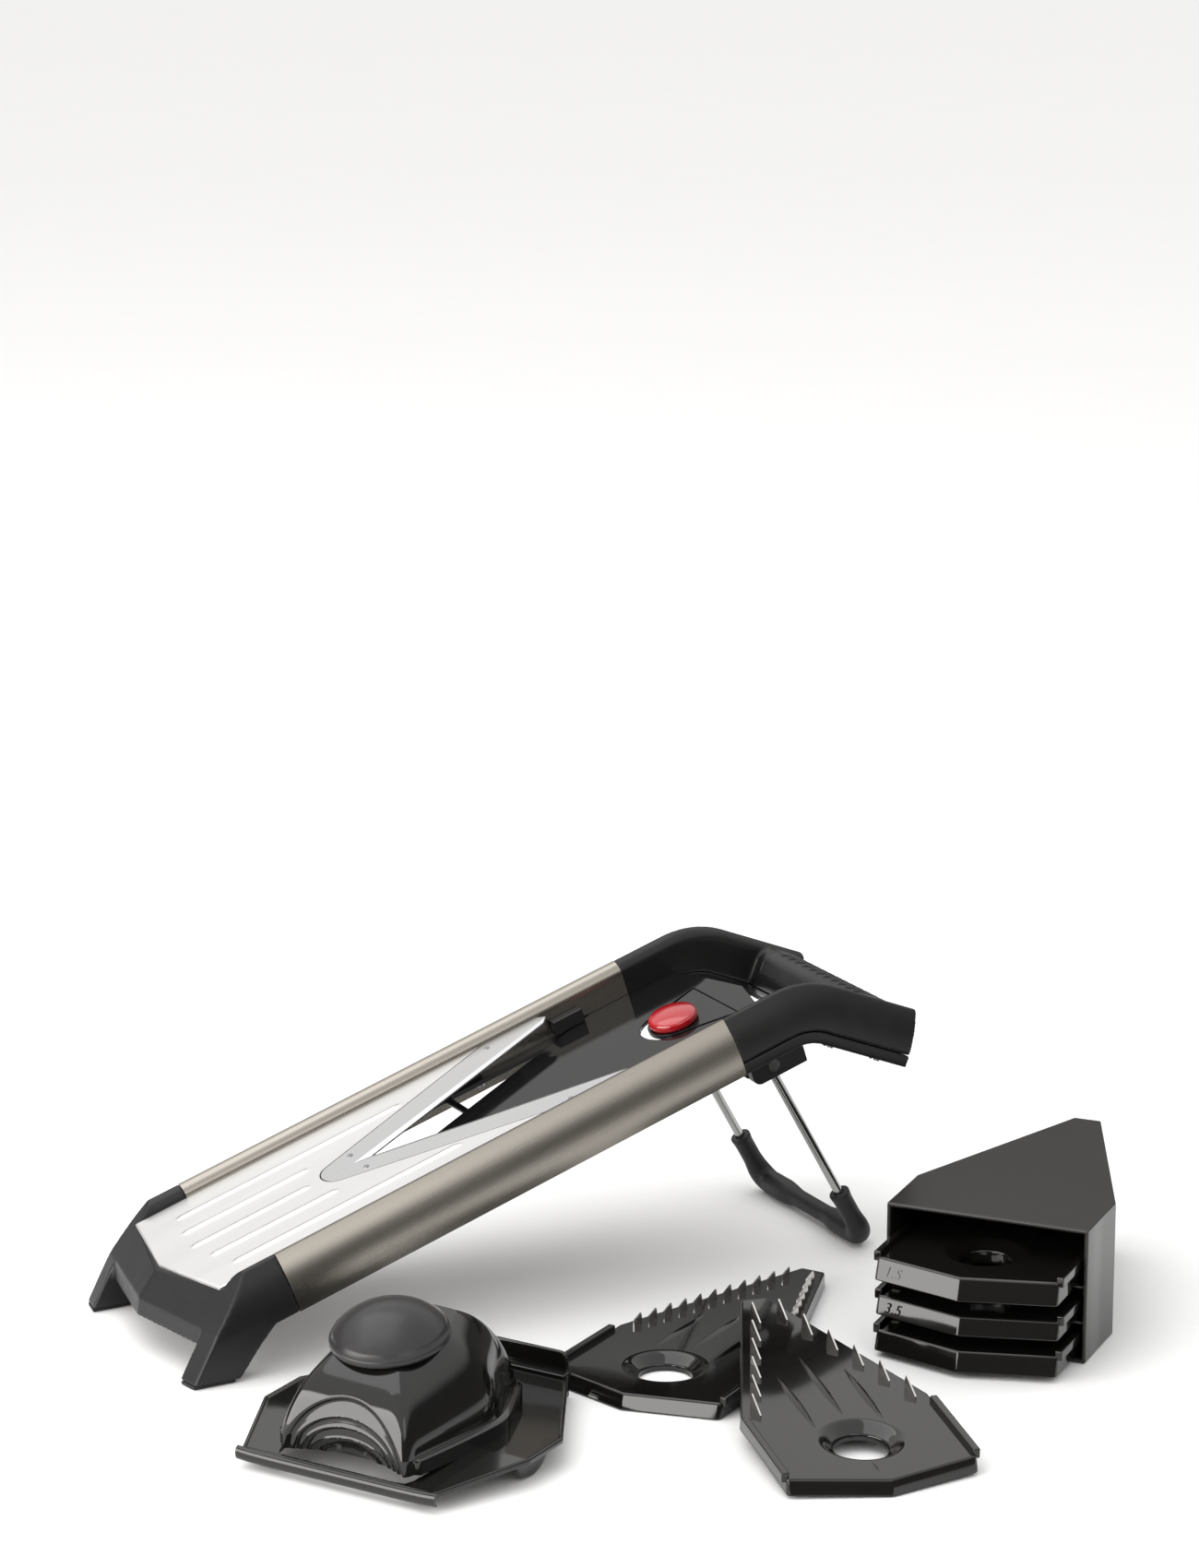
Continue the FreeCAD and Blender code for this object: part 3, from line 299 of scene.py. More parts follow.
def bridge(rings, closed=True, cap_first=False, cap_last=False):
    """Points and faces of a skin over rings with the same number of points."""
    n = len(rings[0])
    verts = [p for ring in rings for p in ring]
    faces = []
    for r in range(len(rings) - 1):
        for i in range(n if closed else n - 1):
            j = (i + 1) % n
            faces.append((r * n + i, r * n + j, (r + 1) * n + j, (r + 1) * n + i))
    if cap_first:
        faces.append(tuple(range(n))[::-1])
    if cap_last:
        faces.append(tuple(range((len(rings) - 1) * n, len(rings) * n)))
    return verts, faces


def joined(parts):
    """Several sets of points and faces as one."""
    verts, faces = [], []
    for v, f in parts:
        base = len(verts)
        verts += v
        faces += [tuple(i + base for i in face) for face in f]
    return verts, faces


def circle(radius, z, n, cx):
    turns = [2 * math.pi * i / n for i in range(n)]
    return [(cx + radius * math.cos(a), radius * math.sin(a), z) for a in turns]


def lathe(profile, n, cx):
    """A closed turned form from (radius, height) pairs, about an upright axis at cx."""
    return bridge([circle(r, z, n, cx) for r, z in profile], True, True, True)


def inset_polygon(points, inset):
    """A convex polygon with its sides moved in, all alike or each by its own amount."""
    out = []
    n = len(points)
    insets = inset if isinstance(inset, list) else [inset] * n
    area = sum(points[i][0] * points[(i + 1) % n][1] - points[(i + 1) % n][0] * points[i][1]
               for i in range(n))
    side = 1 if area > 0 else -1
    lines = []
    for i in range(n):
        (x0, y0), (x1, y1) = points[i], points[(i + 1) % n]
        length = math.hypot(x1 - x0, y1 - y0)
        nx, ny = -(y1 - y0) / length * side, (x1 - x0) / length * side
        lines.append((nx, ny, nx * x0 + ny * y0 + insets[i]))
    for i in range(n):
        a, b = lines[i - 1], lines[i]
        det = a[0] * b[1] - a[1] * b[0]
        out.append(((a[2] * b[1] - a[1] * b[2]) / det, (a[0] * b[2] - a[2] * b[0]) / det))
    return out


def round_polygon(points, radius, arc=5, per_side=10):
    """Corners turned into arcs and sides cut into steps; the count never depends on the sizes."""
    out = []
    n = len(points)
    pieces = []
    for i in range(n):
        p = Vector(points[i])
        a = (Vector(points[i - 1]) - p).normalized()
        b = (Vector(points[(i + 1) % n]) - p).normalized()
        half = a.angle(b) / 2
        cut = radius / math.tan(half)
        centre = p + (a + b).normalized() * (radius / math.sin(half))
        start, end = p + a * cut - centre, p + b * cut - centre
        turn = start.angle_signed(end)
        arcs = []
        for k in range(arc + 1):
            ang = -turn * k / arc
            arcs.append((centre.x + start.x * math.cos(ang) - start.y * math.sin(ang),
                         centre.y + start.x * math.sin(ang) + start.y * math.cos(ang)))
        pieces.append(arcs)
    for i in range(n):
        out += pieces[i]
        (x0, y0), (x1, y1) = pieces[i][-1], pieces[(i + 1) % n][0]
        out += [(x0 + (x1 - x0) * k / per_side, y0 + (y1 - y0) * k / per_side)
                for k in range(1, per_side)]
    return out


def soft_box(x0, x1, y0, y1, z0, z1, radius, segments=3):
    """A box with rounded edges, as points and faces in millimetres."""
    bm = bmesh.new()
    bmesh.ops.create_cube(bm, size=1.0)
    for v in bm.verts:
        v.co = Vector(((x0 + x1) / 2 + v.co.x * (x1 - x0), (y0 + y1) / 2 + v.co.y * (y1 - y0),
                       (z0 + z1) / 2 + v.co.z * (z1 - z0)))
    bmesh.ops.bevel(bm, geom=list(bm.edges), offset=radius, segments=segments, profile=0.5,
                    affect="EDGES", clamp_overlap=True)
    bm.verts.index_update()
    verts = [tuple(v.co) for v in bm.verts]
    faces = [tuple(v.index for v in f.verts) for f in bm.faces]
    bm.free()
    return verts, faces


# ------------------------------------------------------------------ steel plate with soft ribs
# u runs up the slope from the rails' lower end, v across from the middle line.
TIP, SLOPE_V, TIP_R = 55.8, 0.36, 11.1    # the V's point, its slope and its rounding
HALF_GAP = 52.9
PLATE_TOP, PLATE_WALL = -5.5, 1.6
PLATE_SIDE, PLATE_POINT = -30.9, 10.6     # lower edge at the rails, and how far it runs to a point
BLADE_GAP = 0.4
COLUMNS, ROWS = 210, 230
EDGE_STEP, EDGE_DROP = 0.35, 0.35         # the softened rim
RIB_PITCH, RIB_RISE, RIB_WIDTH = 17.6, 0.7, 1.25
RIB_STARTS, RIB_ENDS = (-19.0, -16.0, -11.0), (45.0, 53.0, 118.0)    # middle rib first


def vee_start(v):
    """Where the plate ends at the blades, at a distance from the middle line."""
    lean = math.hypot(1, SLOPE_V)
    turn = TIP_R * math.cos(math.atan(SLOPE_V))
    v = abs(v)
    if v <= turn:
        return TIP + TIP_R - math.sqrt(TIP_R ** 2 - v ** 2)
    return TIP + TIP_R + (v - TIP_R * lean) / SLOPE_V


def plate_height(u, v):
    """The plate's top with its five pressed ribs, which fade out at their ends."""
    rise = 0.0
    for step in (-2, -1, 0, 1, 2):
        start, end = RIB_STARTS[abs(step)], RIB_ENDS[abs(step)]
        du = max(start - u, 0.0, u - end)
        d = math.hypot(du * 0.6, v - step * RIB_PITCH)
        rise += RIB_RISE * math.exp(-(d / RIB_WIDTH) ** 2)
    return PLATE_TOP + rise


def feed_plate():
    half = HALF_GAP - 0.2
    columns = sorted(set([round(-half + i * 2 * half / COLUMNS, 4) for i in range(COLUMNS + 1)]
                         + [-half + EDGE_STEP, half - EDGE_STEP]))
    verts, faces = [], []
    for v in columns:
        front = PLATE_SIDE - PLATE_POINT * (1 - abs(v) / HALF_GAP)
        end = vee_start(v) - BLADE_GAP
        for r in range(ROWS + 1):
            t = r / ROWS
            u = front + (end - front) * t
            edge = min(half - abs(v), u - front)
            drop = EDGE_DROP if edge < 0.01 else (0.1 if edge < 0.4 else 0.0)
            verts.append((u, v, plate_height(u, v) - drop))
    w = ROWS + 1
    last = len(columns) - 1
    for c in range(last):
        for r in range(ROWS):
            faces.append((c * w + r, (c + 1) * w + r, (c + 1) * w + r + 1, c * w + r + 1))
    count = len(verts)
    rim = [c * w for c in range(last + 1)] + [last * w + r for r in range(1, w)]
    rim += [c * w + ROWS for c in range(last - 1, -1, -1)] + list(range(ROWS - 1, 0, -1))
    for i in rim:
        verts.append((verts[i][0], verts[i][1], PLATE_TOP - PLATE_WALL))
    n = len(rim)
    for i in range(n):
        j = (i + 1) % n
        faces.append((rim[i], count + i, count + j, rim[j]))
    faces.append(tuple(range(count, count + n)))
    mesh = mesh_from("feed_plate_pressed", verts, faces, SLICER, 0)
    return finish_mesh("feed_plate_pressed", mesh, "feed_plate", weighted=False, sharp=35)


feed_plate()


# ------------------------------------------------------------------ inserts
# x runs from the wide edge's corners to the narrow tail, y across, z up from the underside.
HOLE_X, HOLE_R, RECESS = 32.0, 13.5, 20.0
INSERT_HALF, SHOULDER = 48.5, 69.5
TAIL, TAIL_HALF = 189.4, 7
FACE_LEAN = 0.30                     # the wide edge's two faces, run to rise
DRAFT = 0.03                         # the other walls, run to rise
CORNER_R = 2.6
WING_IN, WING_OUT = 46.4, 50.3       # the bars along the sides
WING_START, WING_END, WING_REACH = 4.0, 62.0, 2.6
RIB_STEP = 17.5
FIGURE_SIZE, FIGURE_DEPTH = 7.6, 0.25


def insert_points():
    """The outline, starting at the point of the wide edge."""
    return [(-INSERT_NOSE, 0), (0, -INSERT_HALF), (SHOULDER, -INSERT_HALF), (TAIL, -TAIL_HALF),
            (TAIL, TAIL_HALF), (SHOULDER, INSERT_HALF), (0, INSERT_HALF)]


def insert_ring(inset, z, lean=0.0):
    """The outline moved in; lean moves only the two faces of the wide edge further."""
    sides = [inset] * 7
    sides[0] = sides[6] = inset + lean
    ring = round_polygon(inset_polygon(insert_points(), sides), max(CORNER_R - inset, 0.5))
    return [(x, y, z) for x, y in ring]


def hole_ring(radius, z, outer):
    """A circle round the finger hole, with its points in line with those of the outline."""
    ring = []
    for x, y, _ in outer:
        a = math.atan2(y, x - HOLE_X)
        ring.append((HOLE_X + radius * math.cos(a), radius * math.sin(a), z))
    return ring


def spindle(x, y, length, half, rise, z):
    """A long tapering rib with a crisp crest."""
    rings = []
    for i in range(25):
        t = i / 24
        w = half * max(0.02, math.sin(math.pi * t) ** 0.8)
        h = rise * max(0.02, math.sin(math.pi * t) ** 0.7)
        rings.append([(x + length * t, y + w * s, z - 0.15 + h * (1 - abs(s)) ** 0.85)
                      for s in (-1, -0.7, -0.4, -0.15, 0, 0.15, 0.4, 0.7, 1)])
    return bridge(rings, closed=False)


def insert_plate(node, height, matrix, mark=False):
    """A hollow plate with a dished finger hole, three ribs and a bar along each side."""
    h = height
    draft = DRAFT * h
    lean = FACE_LEAN * h
    outer = insert_ring(0.0, 0.0)
    # up the hole, out of the dish, down the outside, then back under the top
    dish = [(HOLE_R, 0.2), (HOLE_R, h - 5.6), (HOLE_R + 0.35, h - 4.7), (HOLE_R + 1.1, h - 4.0),
            (HOLE_R + 2.2, h - 3.5), (RECESS - 2.4, h - 1.8), (RECESS - 0.6, h - 0.75),
            (RECESS + 0.4, h - 0.25), (RECESS + 1.4, h - 0.03), (RECESS + 2.2, h)]
    walls = [(draft + 1.1, h, lean), (draft + 0.7, h - 0.07, lean),
             (draft + 0.33, h - 0.27, lean), (draft + 0.09, h - 0.62, lean),
             (draft, h - 1.0, lean - FACE_LEAN), (0.0, 0.8, FACE_LEAN * 0.8), (0.2, 0.25, 0.1),
             (0.7, 0.0, 0.0), (2.0 + draft, 0.0, lean), (2.3 + draft, h - 2.2, lean)]
    collar = [(RECESS + 2.6, h - 2.2), (RECESS + 2.4, 0.2), (HOLE_R, 0.2)]
    rings = [hole_ring(radius, z, outer) for radius, z in dish]
    rings += [insert_ring(inset, z, tilt) for inset, z, tilt in walls]
    rings += [hole_ring(radius, z, outer) for radius, z in collar]
    parts = [bridge(rings)]
    for step in (-1, 0, 1):
        start, length = ((56.0, 67.0), (47.0, 58.0))[abs(step)]
        parts.append(spindle(start, step * RIB_STEP, length, 2.3, 1.5, h))
    if mark:
        parts.append(spindle(-1.5, 3.0, 11, 0.8, 0.6, h))
    for side in (1, -1):
        lo, hi = sorted((side * WING_IN, side * WING_OUT))
        parts.append(soft_box(WING_START, WING_END, lo, hi, h - WING_REACH, h + WING_REACH, 0.75))
    verts, faces = joined(parts)
    mesh = mesh_from(node + "_moulded", verts, faces, matrix)
    return finish_mesh(node + "_moulded", mesh, node, sharp=38)


def numeral(text, height, matrix, body):
    """A plain thickness figure on the left facet of an insert's wide edge."""
    data = bpy.data.curves.new("figure_" + text.replace(".", "_"), "FONT")
    data.body = text
    data.size = FIGURE_SIZE * MM
    data.extrude = FIGURE_DEPTH * MM
    data.shear = 0.2
    data.space_character = 1.1
    obj = bpy.data.objects.new(data.name, data)
    bpy.context.scene.collection.objects.link(obj)
    run = Vector((-INSERT_NOSE, -INSERT_HALF, 0)).normalized()
    up = Vector((FACE_LEAN, 0, 1))
    up = (up - run * up.dot(run)).normalized()
    out = run.cross(up)
    start = Vector((0, INSERT_HALF, 0)) + run * 5.0
    at = start + up * (height * 0.5 - 2.6) - out * 0.1
    basis = Matrix((run, up, out)).transposed().to_4x4()
    obj.matrix_world = matrix @ Matrix.Translation(at * MM) @ basis
    bpy.context.view_layer.update()
    dg = bpy.context.evaluated_depsgraph_get()
    mesh = bpy.data.meshes.new_from_object(obj.evaluated_get(dg))
    mesh.transform(obj.matrix_world)
    bpy.data.objects.remove(obj)
    mesh.name = data.name
    return finish_mesh(data.name, mesh, None, weighted=False, slot="insert_plastic", body=body)


# slice thickness, how far the insert stands out of the case, and the level it lies at
INSERTS = {"thin": (1.5, 32.0, 40.9), "thick": (3.5, 30.0, 21.9), "medium": (2.5, 31.5, 2.9)}
RAMP_HEIGHT = 13.0                   # an insert's height plus its slice thickness
JULIENNE_HEIGHT = 8.0
for insert_name, (slice_size, stand_out, level) in INSERTS.items():
    at = CASE @ Matrix.Translation(Vector((-stand_out, 0, level)) * MM)
    tall = RAMP_HEIGHT - slice_size
    insert_plate("insert_" + insert_name, tall, at)
    numeral(str(slice_size), tall, at, insert_name)
insert_plate("julienne_fine_plate", JULIENNE_HEIGHT, FINE)
insert_plate("julienne_coarse_plate", JULIENNE_HEIGHT, COARSE, mark=True)


# ------------------------------------------------------------------ hand guard
KNOB = -41.0                         # the knob's place along the guard
CORNERS = [(-86, -38), (-16, -49), (31, -31), (31, 31), (-16, 49), (-86, 38)]    # hood's foot
CROWN = 60.0                         # the hood's top
CROWN_TILT = math.radians(10)
PLINTH, PLINTH_STEP = 20.2, 3.2      # height and width of the step at the hood's foot
NEAR_TURN = 0.85                     # radians either side of the near facet with closer points
STEM_R, BORE_R, COLLAR_END = 12.0, 9.3, 48.2
HOOD_WALL = 2.2
FLANGE_TOP = 13.0
FLANGE = [(-88.5, -54.6), (-38, -76.5), (-8, -76.5), (67, -34), (67, 34), (-8, 76.5), (-38, 76.5),
          (-88.5, 54.6)]


def facet_planes():
    """The hood's facets as outward normals with their distances from the knob's axis."""
    planes = []
    for i, (x0, y0) in enumerate(CORNERS):
        x1, y1 = CORNERS[(i + 1) % 6]
        length = math.hypot(x1 - x0, y1 - y0)
        nx, ny = (y1 - y0) / length, -(x1 - x0) / length
        planes.append((nx, ny, nx * (x0 - KNOB) + ny * y0))
    return planes


PLANES = facet_planes()


def hood_radius(angle, power):
    """Where the facets lie in a direction; a lower power rounds the corners more."""
    ux, uy = math.cos(angle), math.sin(angle)
    total = sum(max(0.0, (nx * ux + ny * uy) / d) ** power for nx, ny, d in PLANES)
    return total ** (-1 / power)


def hood_draw(z):
    """The share by which the hood is drawn in at a height."""
    return (1 - (1 - (z / 66) ** 2.3) ** (1 / 2.3)) + 0.001 * z * (1 - z / 60)


def lean_up(z, x):
    """The crown faces the near lip a little, so its far side stands higher."""
    return math.tan(CROWN_TILT) * (z / CROWN) ** 2 * (x - KNOB)


def smooth(t):
    t = min(1.0, max(0.0, t))
    return t * t * (3 - 2 * t)


def scoop(x, y, z):
    """How far the finger recess in the near facet goes in: an arch, then flatter stepped arcs."""
    if x > -50:
        return 0.0
    rho = math.hypot(y / 35.5, (z - 3) / 43.0)
    if rho >= 1:
        return 0.0
    depth = 2.4 * smooth((1 - rho) / 0.09) + 3.0 * (1 - rho)
    for half, tall in ((29.5, 25.0), (26.0, 19.0), (22.0, 12.5), (16.0, 6.0)):
        arc = math.hypot(y / half, (z - 9) / tall)
        depth += 1.5 * smooth((1 - arc) * tall / 1.6 + 0.5)
        depth -= 0.55 * math.exp(-((arc - 1) * tall / 0.9) ** 2)
    return depth


def hood_angles():
    """More points round the near facet, where the recess is."""
    near = [math.pi + a for a in np.linspace(-NEAR_TURN, NEAR_TURN, 150)]
    rest = np.linspace(math.pi + NEAR_TURN, 3 * math.pi - NEAR_TURN, 230)[1:-1]
    return near + list(rest)


def plinth_step(z):
    """How far the plinth stands out at a height; its upper edge is eased."""
    if z > 20.3:
        return 0.0
    return PLINTH_STEP if z < 19.6 else PLINTH_STEP - 3.0 * (z - 19.6) / 0.6


def guard_hood():
    """The hood: plinth, facets, crown, the stem's collar, and the inside back to the foot."""
    angles = hood_angles()
    rings = []
    plinth_levels = list(np.linspace(12.0, 19.3, 6)) + [19.8, 20.1, PLINTH]
    levels = plinth_levels + list(np.linspace(20.4, CROWN, 84))
    for z in levels:
        ring = []
        draw = hood_draw(max(z, PLINTH))
        for a in angles:
            power = 26 - 8 * z / CROWN
            r = hood_radius(a, power) * (1 - draw)
            near = smooth((math.cos(a - math.pi) - 0.66) / 0.06)
            r += plinth_step(z) * (1 - near)
            x, y = KNOB + r * math.cos(a), r * math.sin(a)
            x += scoop(x, y, z) * smooth((math.cos(a - math.pi) - 0.55) / 0.1)
            ring.append((x, y, z + lean_up(z, x)))
        rings.append(ring)
    top = rings[-1]

    def on_crown(points, depth=0.0):
        return [(x, y, CROWN - depth + lean_up(CROWN, x)) for x, y in points]

    def round_stem(radius):
        return [(KNOB + radius * math.cos(a), radius * math.sin(a)) for a in angles]

    for k in (0.98, 0.95, 0.8):
        rings.append(on_crown([(KNOB + (x - KNOB) * k, y * k) for x, y, _ in top]))
    rings.append(on_crown(round_stem(BORE_R)))
    rings += [[(x, y, COLLAR_END) for x, y in round_stem(r)] for r in (BORE_R, STEM_R)]
    rings.append(on_crown(round_stem(STEM_R), HOOD_WALL))
    inner_top = CROWN - HOOD_WALL
    for ring in rings[len(levels) - 1:len(plinth_levels) - 1:-3]:
        inner = []
        for x, y, z in ring:
            r = math.hypot(x - KNOB, y)
            k = (r - HOOD_WALL) / r
            inner.append((KNOB + (x - KNOB) * k, y * k, min(z, inner_top + lean_up(CROWN, x))))
        rings.append(inner)
    rings.append([(KNOB + (x - KNOB) * 0.955, y * 0.955, 12.0) for x, y, _ in rings[0]])
    rings.append(rings[0])
    return bridge(rings)


def flange_top(x):
    """The flange is level, and slopes down towards its near edge."""
    return FLANGE_TOP if x > -38 else 9.0 + 4.0 * (x + 88.5) / 50.5


def guard_flange():
    """The plate round the hood with a thin raised rim, from the hood's foot to the outline."""
    def ring(inset, dz, radius=3.2):
        pts = round_polygon(inset_polygon(FLANGE, inset), max(radius - inset, 0.6), 5, 16)
        return [(x, y, flange_top(x) + dz) for x, y in pts]

    outer = ring(0.0, 0.0)
    foot = []
    for x, y, _ in outer:
        a = math.atan2(y, x - KNOB)
        r = hood_radius(a, 26) - 1.0
        px = KNOB + r * math.cos(a)
        foot.append((px, r * math.sin(a), flange_top(px)))
    under = [(x, y, z - 2.2) for x, y, z in foot]
    middle = [((a[0] + b[0]) / 2, (a[1] + b[1]) / 2, flange_top((a[0] + b[0]) / 2))
              for a, b in zip(foot, outer)]
    rings = [foot, middle, ring(3.0, 0.0), ring(2.2, 0.04), ring(1.9, 0.25), ring(1.6, 0.62),
             ring(1.2, 0.85), ring(0.6, 0.85), ring(0.25, 0.62), ring(0.0, 0.2), ring(0.0, -1.6),
             ring(0.3, -2.05), ring(0.8, -2.2), under, foot]
    return bridge(rings)


def swept_bar(path, section):
    """A bar with a fixed section (across, up) along a path."""
    rings = []
    for i, p in enumerate(path):
        a = Vector(path[max(i - 1, 0)])
        b = Vector(path[min(i + 1, len(path) - 1)])
        along = Vector((b.x - a.x, b.y - a.y, 0)).normalized()
        side = Vector((along.y, -along.x, 0))
        rings.append([tuple(Vector(p) + side * s + Vector((0, 0, z))) for s, z in section])
    return bridge(rings, True, True, True)


def near_lip():
    """The rolled lip along the guard's near edge; it flares a little at both ends."""
    half = 56.6
    path = []
    for i in range(41):
        y = -half + 2 * half * i / 40
        flare = abs(y) / half
        path.append((-88.6 - 0.3 * flare ** 4, y, 0.9 * flare ** 6))
    section = []
    for k in range(25):
        a = math.pi * (1.5 - k / 24)
        section.append((-0.2 + 2.2 * math.cos(a), 6.3 + 3.4 * math.sin(a)))
    section += [(0.4, 9.6), (0.7, 9.2), (0.6, 8.4), (-0.4, 7.2), (-0.9, 6.2), (-0.6, 4.6),
                (0.2, 3.4)]
    return swept_bar(path, section)


def far_wall():
    """Upright wall at the far end with rounded upper corners."""
    half, corner, height = 34, 4.0, 24.0
    rows = []
    for i in range(61):
        y = -half + 2 * half * i / 60
        edge = half - abs(y)
        drop = corner - math.sqrt(max(0.0, corner ** 2 - (corner - min(edge, corner)) ** 2))
        top = height - drop
        rows.append([(64.6, y, 11.0), (64.6, y, top - 0.9), (64.8, y, top - 0.3), (65.3, y, top),
                     (66.3, y, top), (66.8, y, top - 0.3), (67.0, y, top - 0.9), (67.0, y, 1.2),
                     (66.6, y, 0.3), (65.2, y, 0.3), (64.8, y, 1.2), (64.6, y, 6.0)])
    wall = bridge(rows, True, True, True)
    shelf = soft_box(57.5, 65.5, -36.5, 36.5, 11.5, 14.6, 0.7)
    return joined([wall, shelf])


def skirt(side):
    """Rounded rail guide under the flange that comes down to the surface."""
    start, length, depth = -42, 30, 12.0
    centre, half_wall = 70.1, 1.1

    def squared(value):
        """Keeps the sign and squares a round section up a little."""
        return math.copysign(abs(value) ** 0.6, value)

    rings = []
    for i in range(25):
        t = i / 24
        low = depth - depth * math.sin(math.pi * t) ** 0.45
        half = (depth + 0.2 - low) / 2
        ring = []
        for k in range(20):
            a = 2 * math.pi * k / 20
            ring.append((start + length * t, side * (centre + half_wall * squared(math.cos(a))),
                         low + half + half * squared(math.sin(a))))
        rings.append(ring)
    return bridge(rings, True, True, True)


def guard_shell():
    parts = [guard_hood(), guard_flange(), near_lip(), far_wall(), skirt(1), skirt(-1)]
    verts, faces = joined(parts)
    mesh = mesh_from("guard_moulded", verts, faces, GUARD, 1e-7)
    return finish_mesh("guard_moulded", mesh, "guard_shell", weighted=False, sharp=50)


def knob():
    """A domed knob with a rolled rim, square to the tilted crown."""
    low = CROWN + 0.5
    radius, dome = 29.5, 14.0
    cap_r = (radius ** 2 + dome ** 2) / (2 * dome)
    rim = [(0.5, 1.2), (24.0, 1.2), (26.0, 0.3), (27.6, 0.0), (28.8, 0.15), (29.35, 0.7),
           (radius, 1.6), (radius, 2.6), (29.3, 3.4), (28.8, 3.9), (28.2, 4.15)]
    profile = [(r, low + z) for r, z in rim]
    for i in range(1, 40):
        a = math.asin(28.0 / cap_r) * (1 - i / 40)
        profile.append((cap_r * math.sin(a), low + 4.0 + dome - cap_r + cap_r * math.cos(a)))
    verts, faces = lathe(profile, 128, KNOB)
    pivot = Matrix.Translation(Vector((KNOB, 0, CROWN)) * MM)
    tipped = GUARD @ pivot @ Matrix.Rotation(-CROWN_TILT, 4, "Y") @ pivot.inverted()
    mesh = mesh_from("knob_turned", verts, faces, tipped)
    return finish_mesh("knob_turned", mesh, "plunger_knob", weighted=False, sharp=60)


guard_shell()
knob()


# ------------------------------------------------------------------ red button
BUTTON_U, BED_TOP = 270.0, -18.5


def button():
    """A shallow domed button on the bed."""
    side = [(9.0, 0.1), (12.6, 0.1), (13.0, 0.4), (13.4, 1.2), (13.5, 2.6), (13.35, 3.5),
            (12.9, 4.3), (12.2, 4.9)]
    profile = [(r, BED_TOP + z) for r, z in side]
    for i in range(1, 30):
        t = 1 - i / 30
        profile.append((11.6 * t, BED_TOP + 5.1 + 1.8 * (1 - t ** 2.2)))
    verts, faces = lathe(profile, 96, BUTTON_U)
    mesh = mesh_from("button_cap", verts, faces, SLICER)
    return finish_mesh("button_cap", mesh, "release_button", weighted=False, sharp=60)


button()

# ------------------------------------------------------------------ rubber sleeve of the stand
PIVOT = SLICER @ (Vector((291.5, 0, -37.0)) * MM)
LEAN = math.radians(29.5)            # of the stand's legs from upright
THICK = 6.6                          # the sleeve's largest radius; it rests on the ground
LEG = (PIVOT.z / MM - THICK) / math.cos(LEAN)
LEG_HALF = 52.5
SLEEVE_UP, SLEEVE_CORNER = 31, 9.0   # how far it reaches up the legs, and its bends


def leg_at(down, y):
    """A point of the stand's plane, down the legs from the pivot and across."""
    return Vector((PIVOT.x / MM + down * math.sin(LEAN), PIVOT.y / MM + y,
                   PIVOT.z / MM - down * math.cos(LEAN)))


def stand_sleeve():
    """One moulded sleeve: collars on the legs, thick corners, a thin waist in the middle."""
    points = []                      # each with whether it is on a leg or its bend
    corner = SLEEVE_CORNER
    for i in range(25):
        points.append((leg_at(LEG - SLEEVE_UP + (SLEEVE_UP - corner) * i / 24, LEG_HALF), True))
    for i in range(1, 17):
        a = math.pi / 2 * i / 16
        points.append((leg_at(LEG - corner + corner * math.sin(a),
                              LEG_HALF - corner + corner * math.cos(a)), True))
    for i in range(1, 60):
        points.append((leg_at(LEG, (LEG_HALF - corner) * (1 - 2 * i / 60)), False))
    for i in range(17):
        a = math.pi / 2 * (1 - i / 16)
        points.append((leg_at(LEG - corner + corner * math.sin(a),
                              -LEG_HALF + corner - corner * math.cos(a)), True))
    for i in range(1, 25):
        points.append((leg_at(LEG - corner - (SLEEVE_UP - corner) * i / 24, -LEG_HALF), True))
    normal = Vector((math.cos(LEAN), 0, math.sin(LEAN)))
    rings = []
    n = len(points)
    for i, (p, on_leg) in enumerate(points):
        along = (points[min(i + 1, n - 1)][0] - points[max(i - 1, 0)][0]).normalized()
        side = along.cross(normal).normalized()
        if on_leg:
            down = (p - leg_at(0, 0)).dot(Vector((math.sin(LEAN), 0, -math.cos(LEAN))))
            lower = (down - (LEG - SLEEVE_UP)) / SLEEVE_UP
            r = 5.2 + 0.5 * math.exp(-(lower / 0.10) ** 2) + 1.3 * smooth((lower - 0.45) / 0.5)
        else:
            r = 5.0 + 1.6 * smooth((abs(p.y - PIVOT.y / MM) - 13) / 16)
        r = min(r, THICK)
        rings.append([tuple(p + (side * math.cos(a) + normal * math.sin(a)) * r)
                      for a in [2 * math.pi * k / 28 for k in range(28)]])

    def end_rings(p, along, ring, flip):
        """The rounded end of the sleeve, down to the wire."""
        out = []
        for k, scale in ((0.0, 1.0), (0.35, 0.97), (0.6, 0.88), (0.7, 0.7), (0.6, 0.49)):
            out.append([tuple(Vector(p) + (Vector(q) - Vector(p)) * scale + along * k) for q in ring])
        return out[::-1] if flip else out

    first, last = points[0][0], points[-1][0]
    before = end_rings(first, (first - points[1][0]).normalized(), rings[0], True)
    after = end_rings(last, (last - points[-2][0]).normalized(), rings[-1], False)
    verts, faces = bridge(before[:-1] + rings + after[1:])
    verts = [(x, y, max(z, 0.0)) for x, y, z in verts]
    mesh = mesh_from("sleeve_moulded", verts, faces)
    return finish_mesh("sleeve_moulded", mesh, "stand_sleeve", weighted=False, sharp=60)


stand_sleeve()

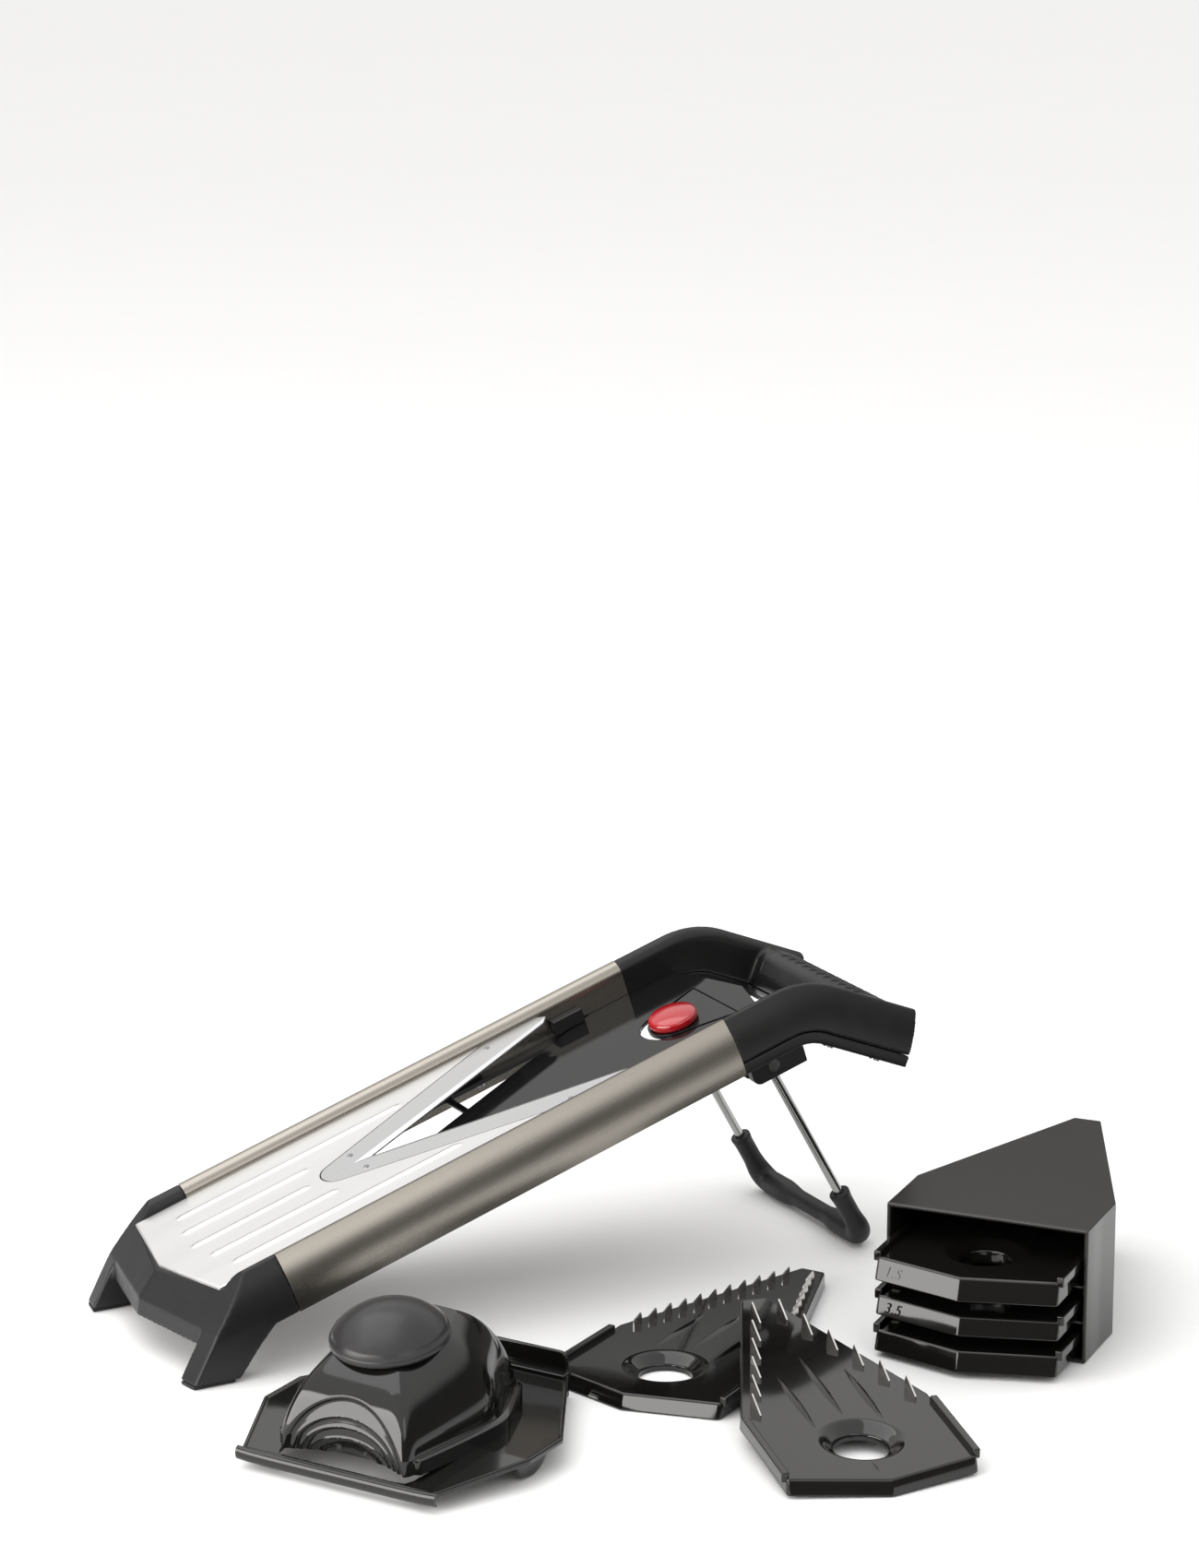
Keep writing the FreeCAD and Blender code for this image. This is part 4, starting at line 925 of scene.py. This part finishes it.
# ------------------------------------------------------------------ moulded plastic parts
for part, rounds in (("front_foot", 5), ("handle_upper", 4), ("handle_lower", 4)):
    melted(part, 0.8, rounds)
rounded("grip_pad", 0.35, 3, 25)
for part in ("case_shell", "pivot_block_left", "pivot_block_right"):
    rounded(part, 0.8)
rounded("foot_pads", 0.4, 2)
rounded("guide_blocks", 0.6)
for part in ("ledge_left", "ledge_right"):
    rounded(part, 0.3, 2)
for part in ("blade_left", "blade_right"):
    rounded(part, 0.12, 2, 12)
for part in ("bed", "release_tongue", "case_shelves"):
    rounded(part, 0.3, 2)

# ------------------------------------------------------------------ floor, light and camera
floor_mesh = bpy.data.meshes.new("floor")
floor_mesh.from_pydata([(-14, -8, 0), (18, -8, 0), (18, 22, 0), (-14, 22, 0)], [], [(0, 1, 2, 3)])
floor = bpy.data.objects.new("floor", floor_mesh)
floor.location.z = -0.0003           # just below the pads
bpy.context.scene.collection.objects.link(floor)
floor_mesh.materials.append(surface("floor_paper", (0.90, 0.90, 0.90), 0.9, mottle=0.004,
                                    grain_bump=0.01, spread=0.02, specular=0.0))

bpy.context.scene.view_settings.view_transform = "Standard"


def studio_world():
    """A dim horizon that turns to white overhead."""
    world = bpy.data.worlds.new("studio")
    bpy.context.scene.world = world
    world.use_nodes = True
    t = world.node_tree
    t.nodes.clear()
    out = t.nodes.new("ShaderNodeOutputWorld")
    back = t.nodes.new("ShaderNodeBackground")
    coords = t.nodes.new("ShaderNodeTexCoord")
    split = t.nodes.new("ShaderNodeSeparateXYZ")
    sky = t.nodes.new("ShaderNodeValToRGB")
    stops = sky.color_ramp.elements
    stops[0].position, stops[0].color = 0.0, (0.13, 0.125, 0.12, 1)
    stops[1].position, stops[1].color = 1.0, (1.0, 1.0, 1.0, 1)
    for position, value in ((0.33, 0.12), (0.45, 0.85), (0.58, 1.0)):
        stop = stops.new(position)
        stop.color = (value, value * 0.99, value * 0.975, 1)
    link(t, coords.outputs["Generated"], split.inputs[0])
    link(t, split.outputs["Z"], sky.inputs["Fac"])
    link(t, sky.outputs["Color"], back.inputs["Color"])
    link(t, back.outputs["Background"], out.inputs["Surface"])
    back.inputs["Strength"].default_value = 1.15


def softbox(name, at, target, width, height, watts, colour=(1, 1, 1)):
    """A rectangular lamp; places and sizes in metres."""
    data = bpy.data.lights.new(name, "AREA")
    data.shape = "RECTANGLE"
    data.size, data.size_y = width, height
    data.energy = watts
    data.color = colour
    lamp = bpy.data.objects.new(name, data)
    lamp.location = at
    lamp.rotation_mode = "QUATERNION"
    lamp.rotation_quaternion = (Vector(target) - Vector(at)).to_track_quat("-Z", "Y")
    bpy.context.scene.collection.objects.link(lamp)


studio_world()
softbox("key_top", (-0.7, 0.6, 2.4), (0, 0, 0), 2.6, 2.2, 26)
softbox("left_card", (-2.0, -0.2, 0.5), (0, -0.1, 0.1), 2.3, 0.95, 46, (1, 0.98, 0.95))
softbox("front_fill", (-0.2, -2.6, 1.6), (0, 0, 0.05), 1.6, 1.0, 6)

cam_data = bpy.data.cameras.new("camera")
cam_data.lens = 112.9
cam_data.sensor_width = 36.0
cam_data.sensor_fit = "AUTO"
cam_data.clip_start, cam_data.clip_end = 0.05, 60
camera = bpy.data.objects.new("camera", cam_data)
bpy.context.scene.collection.objects.link(camera)
LOOK_AT = MOVE + Vector((685.33, 858.46, 0)) * MM
AZIMUTH, ELEVATION = math.radians(-28.59), math.radians(15.03)
DISTANCE = 3.57203
flat = math.cos(ELEVATION)
towards = Vector((math.sin(AZIMUTH) * flat, -math.cos(AZIMUTH) * flat, math.sin(ELEVATION)))
camera.location = LOOK_AT + towards * DISTANCE
camera.rotation_mode = "QUATERNION"
camera.rotation_quaternion = (-towards).to_track_quat("-Z", "Y")
bpy.context.scene.camera = camera
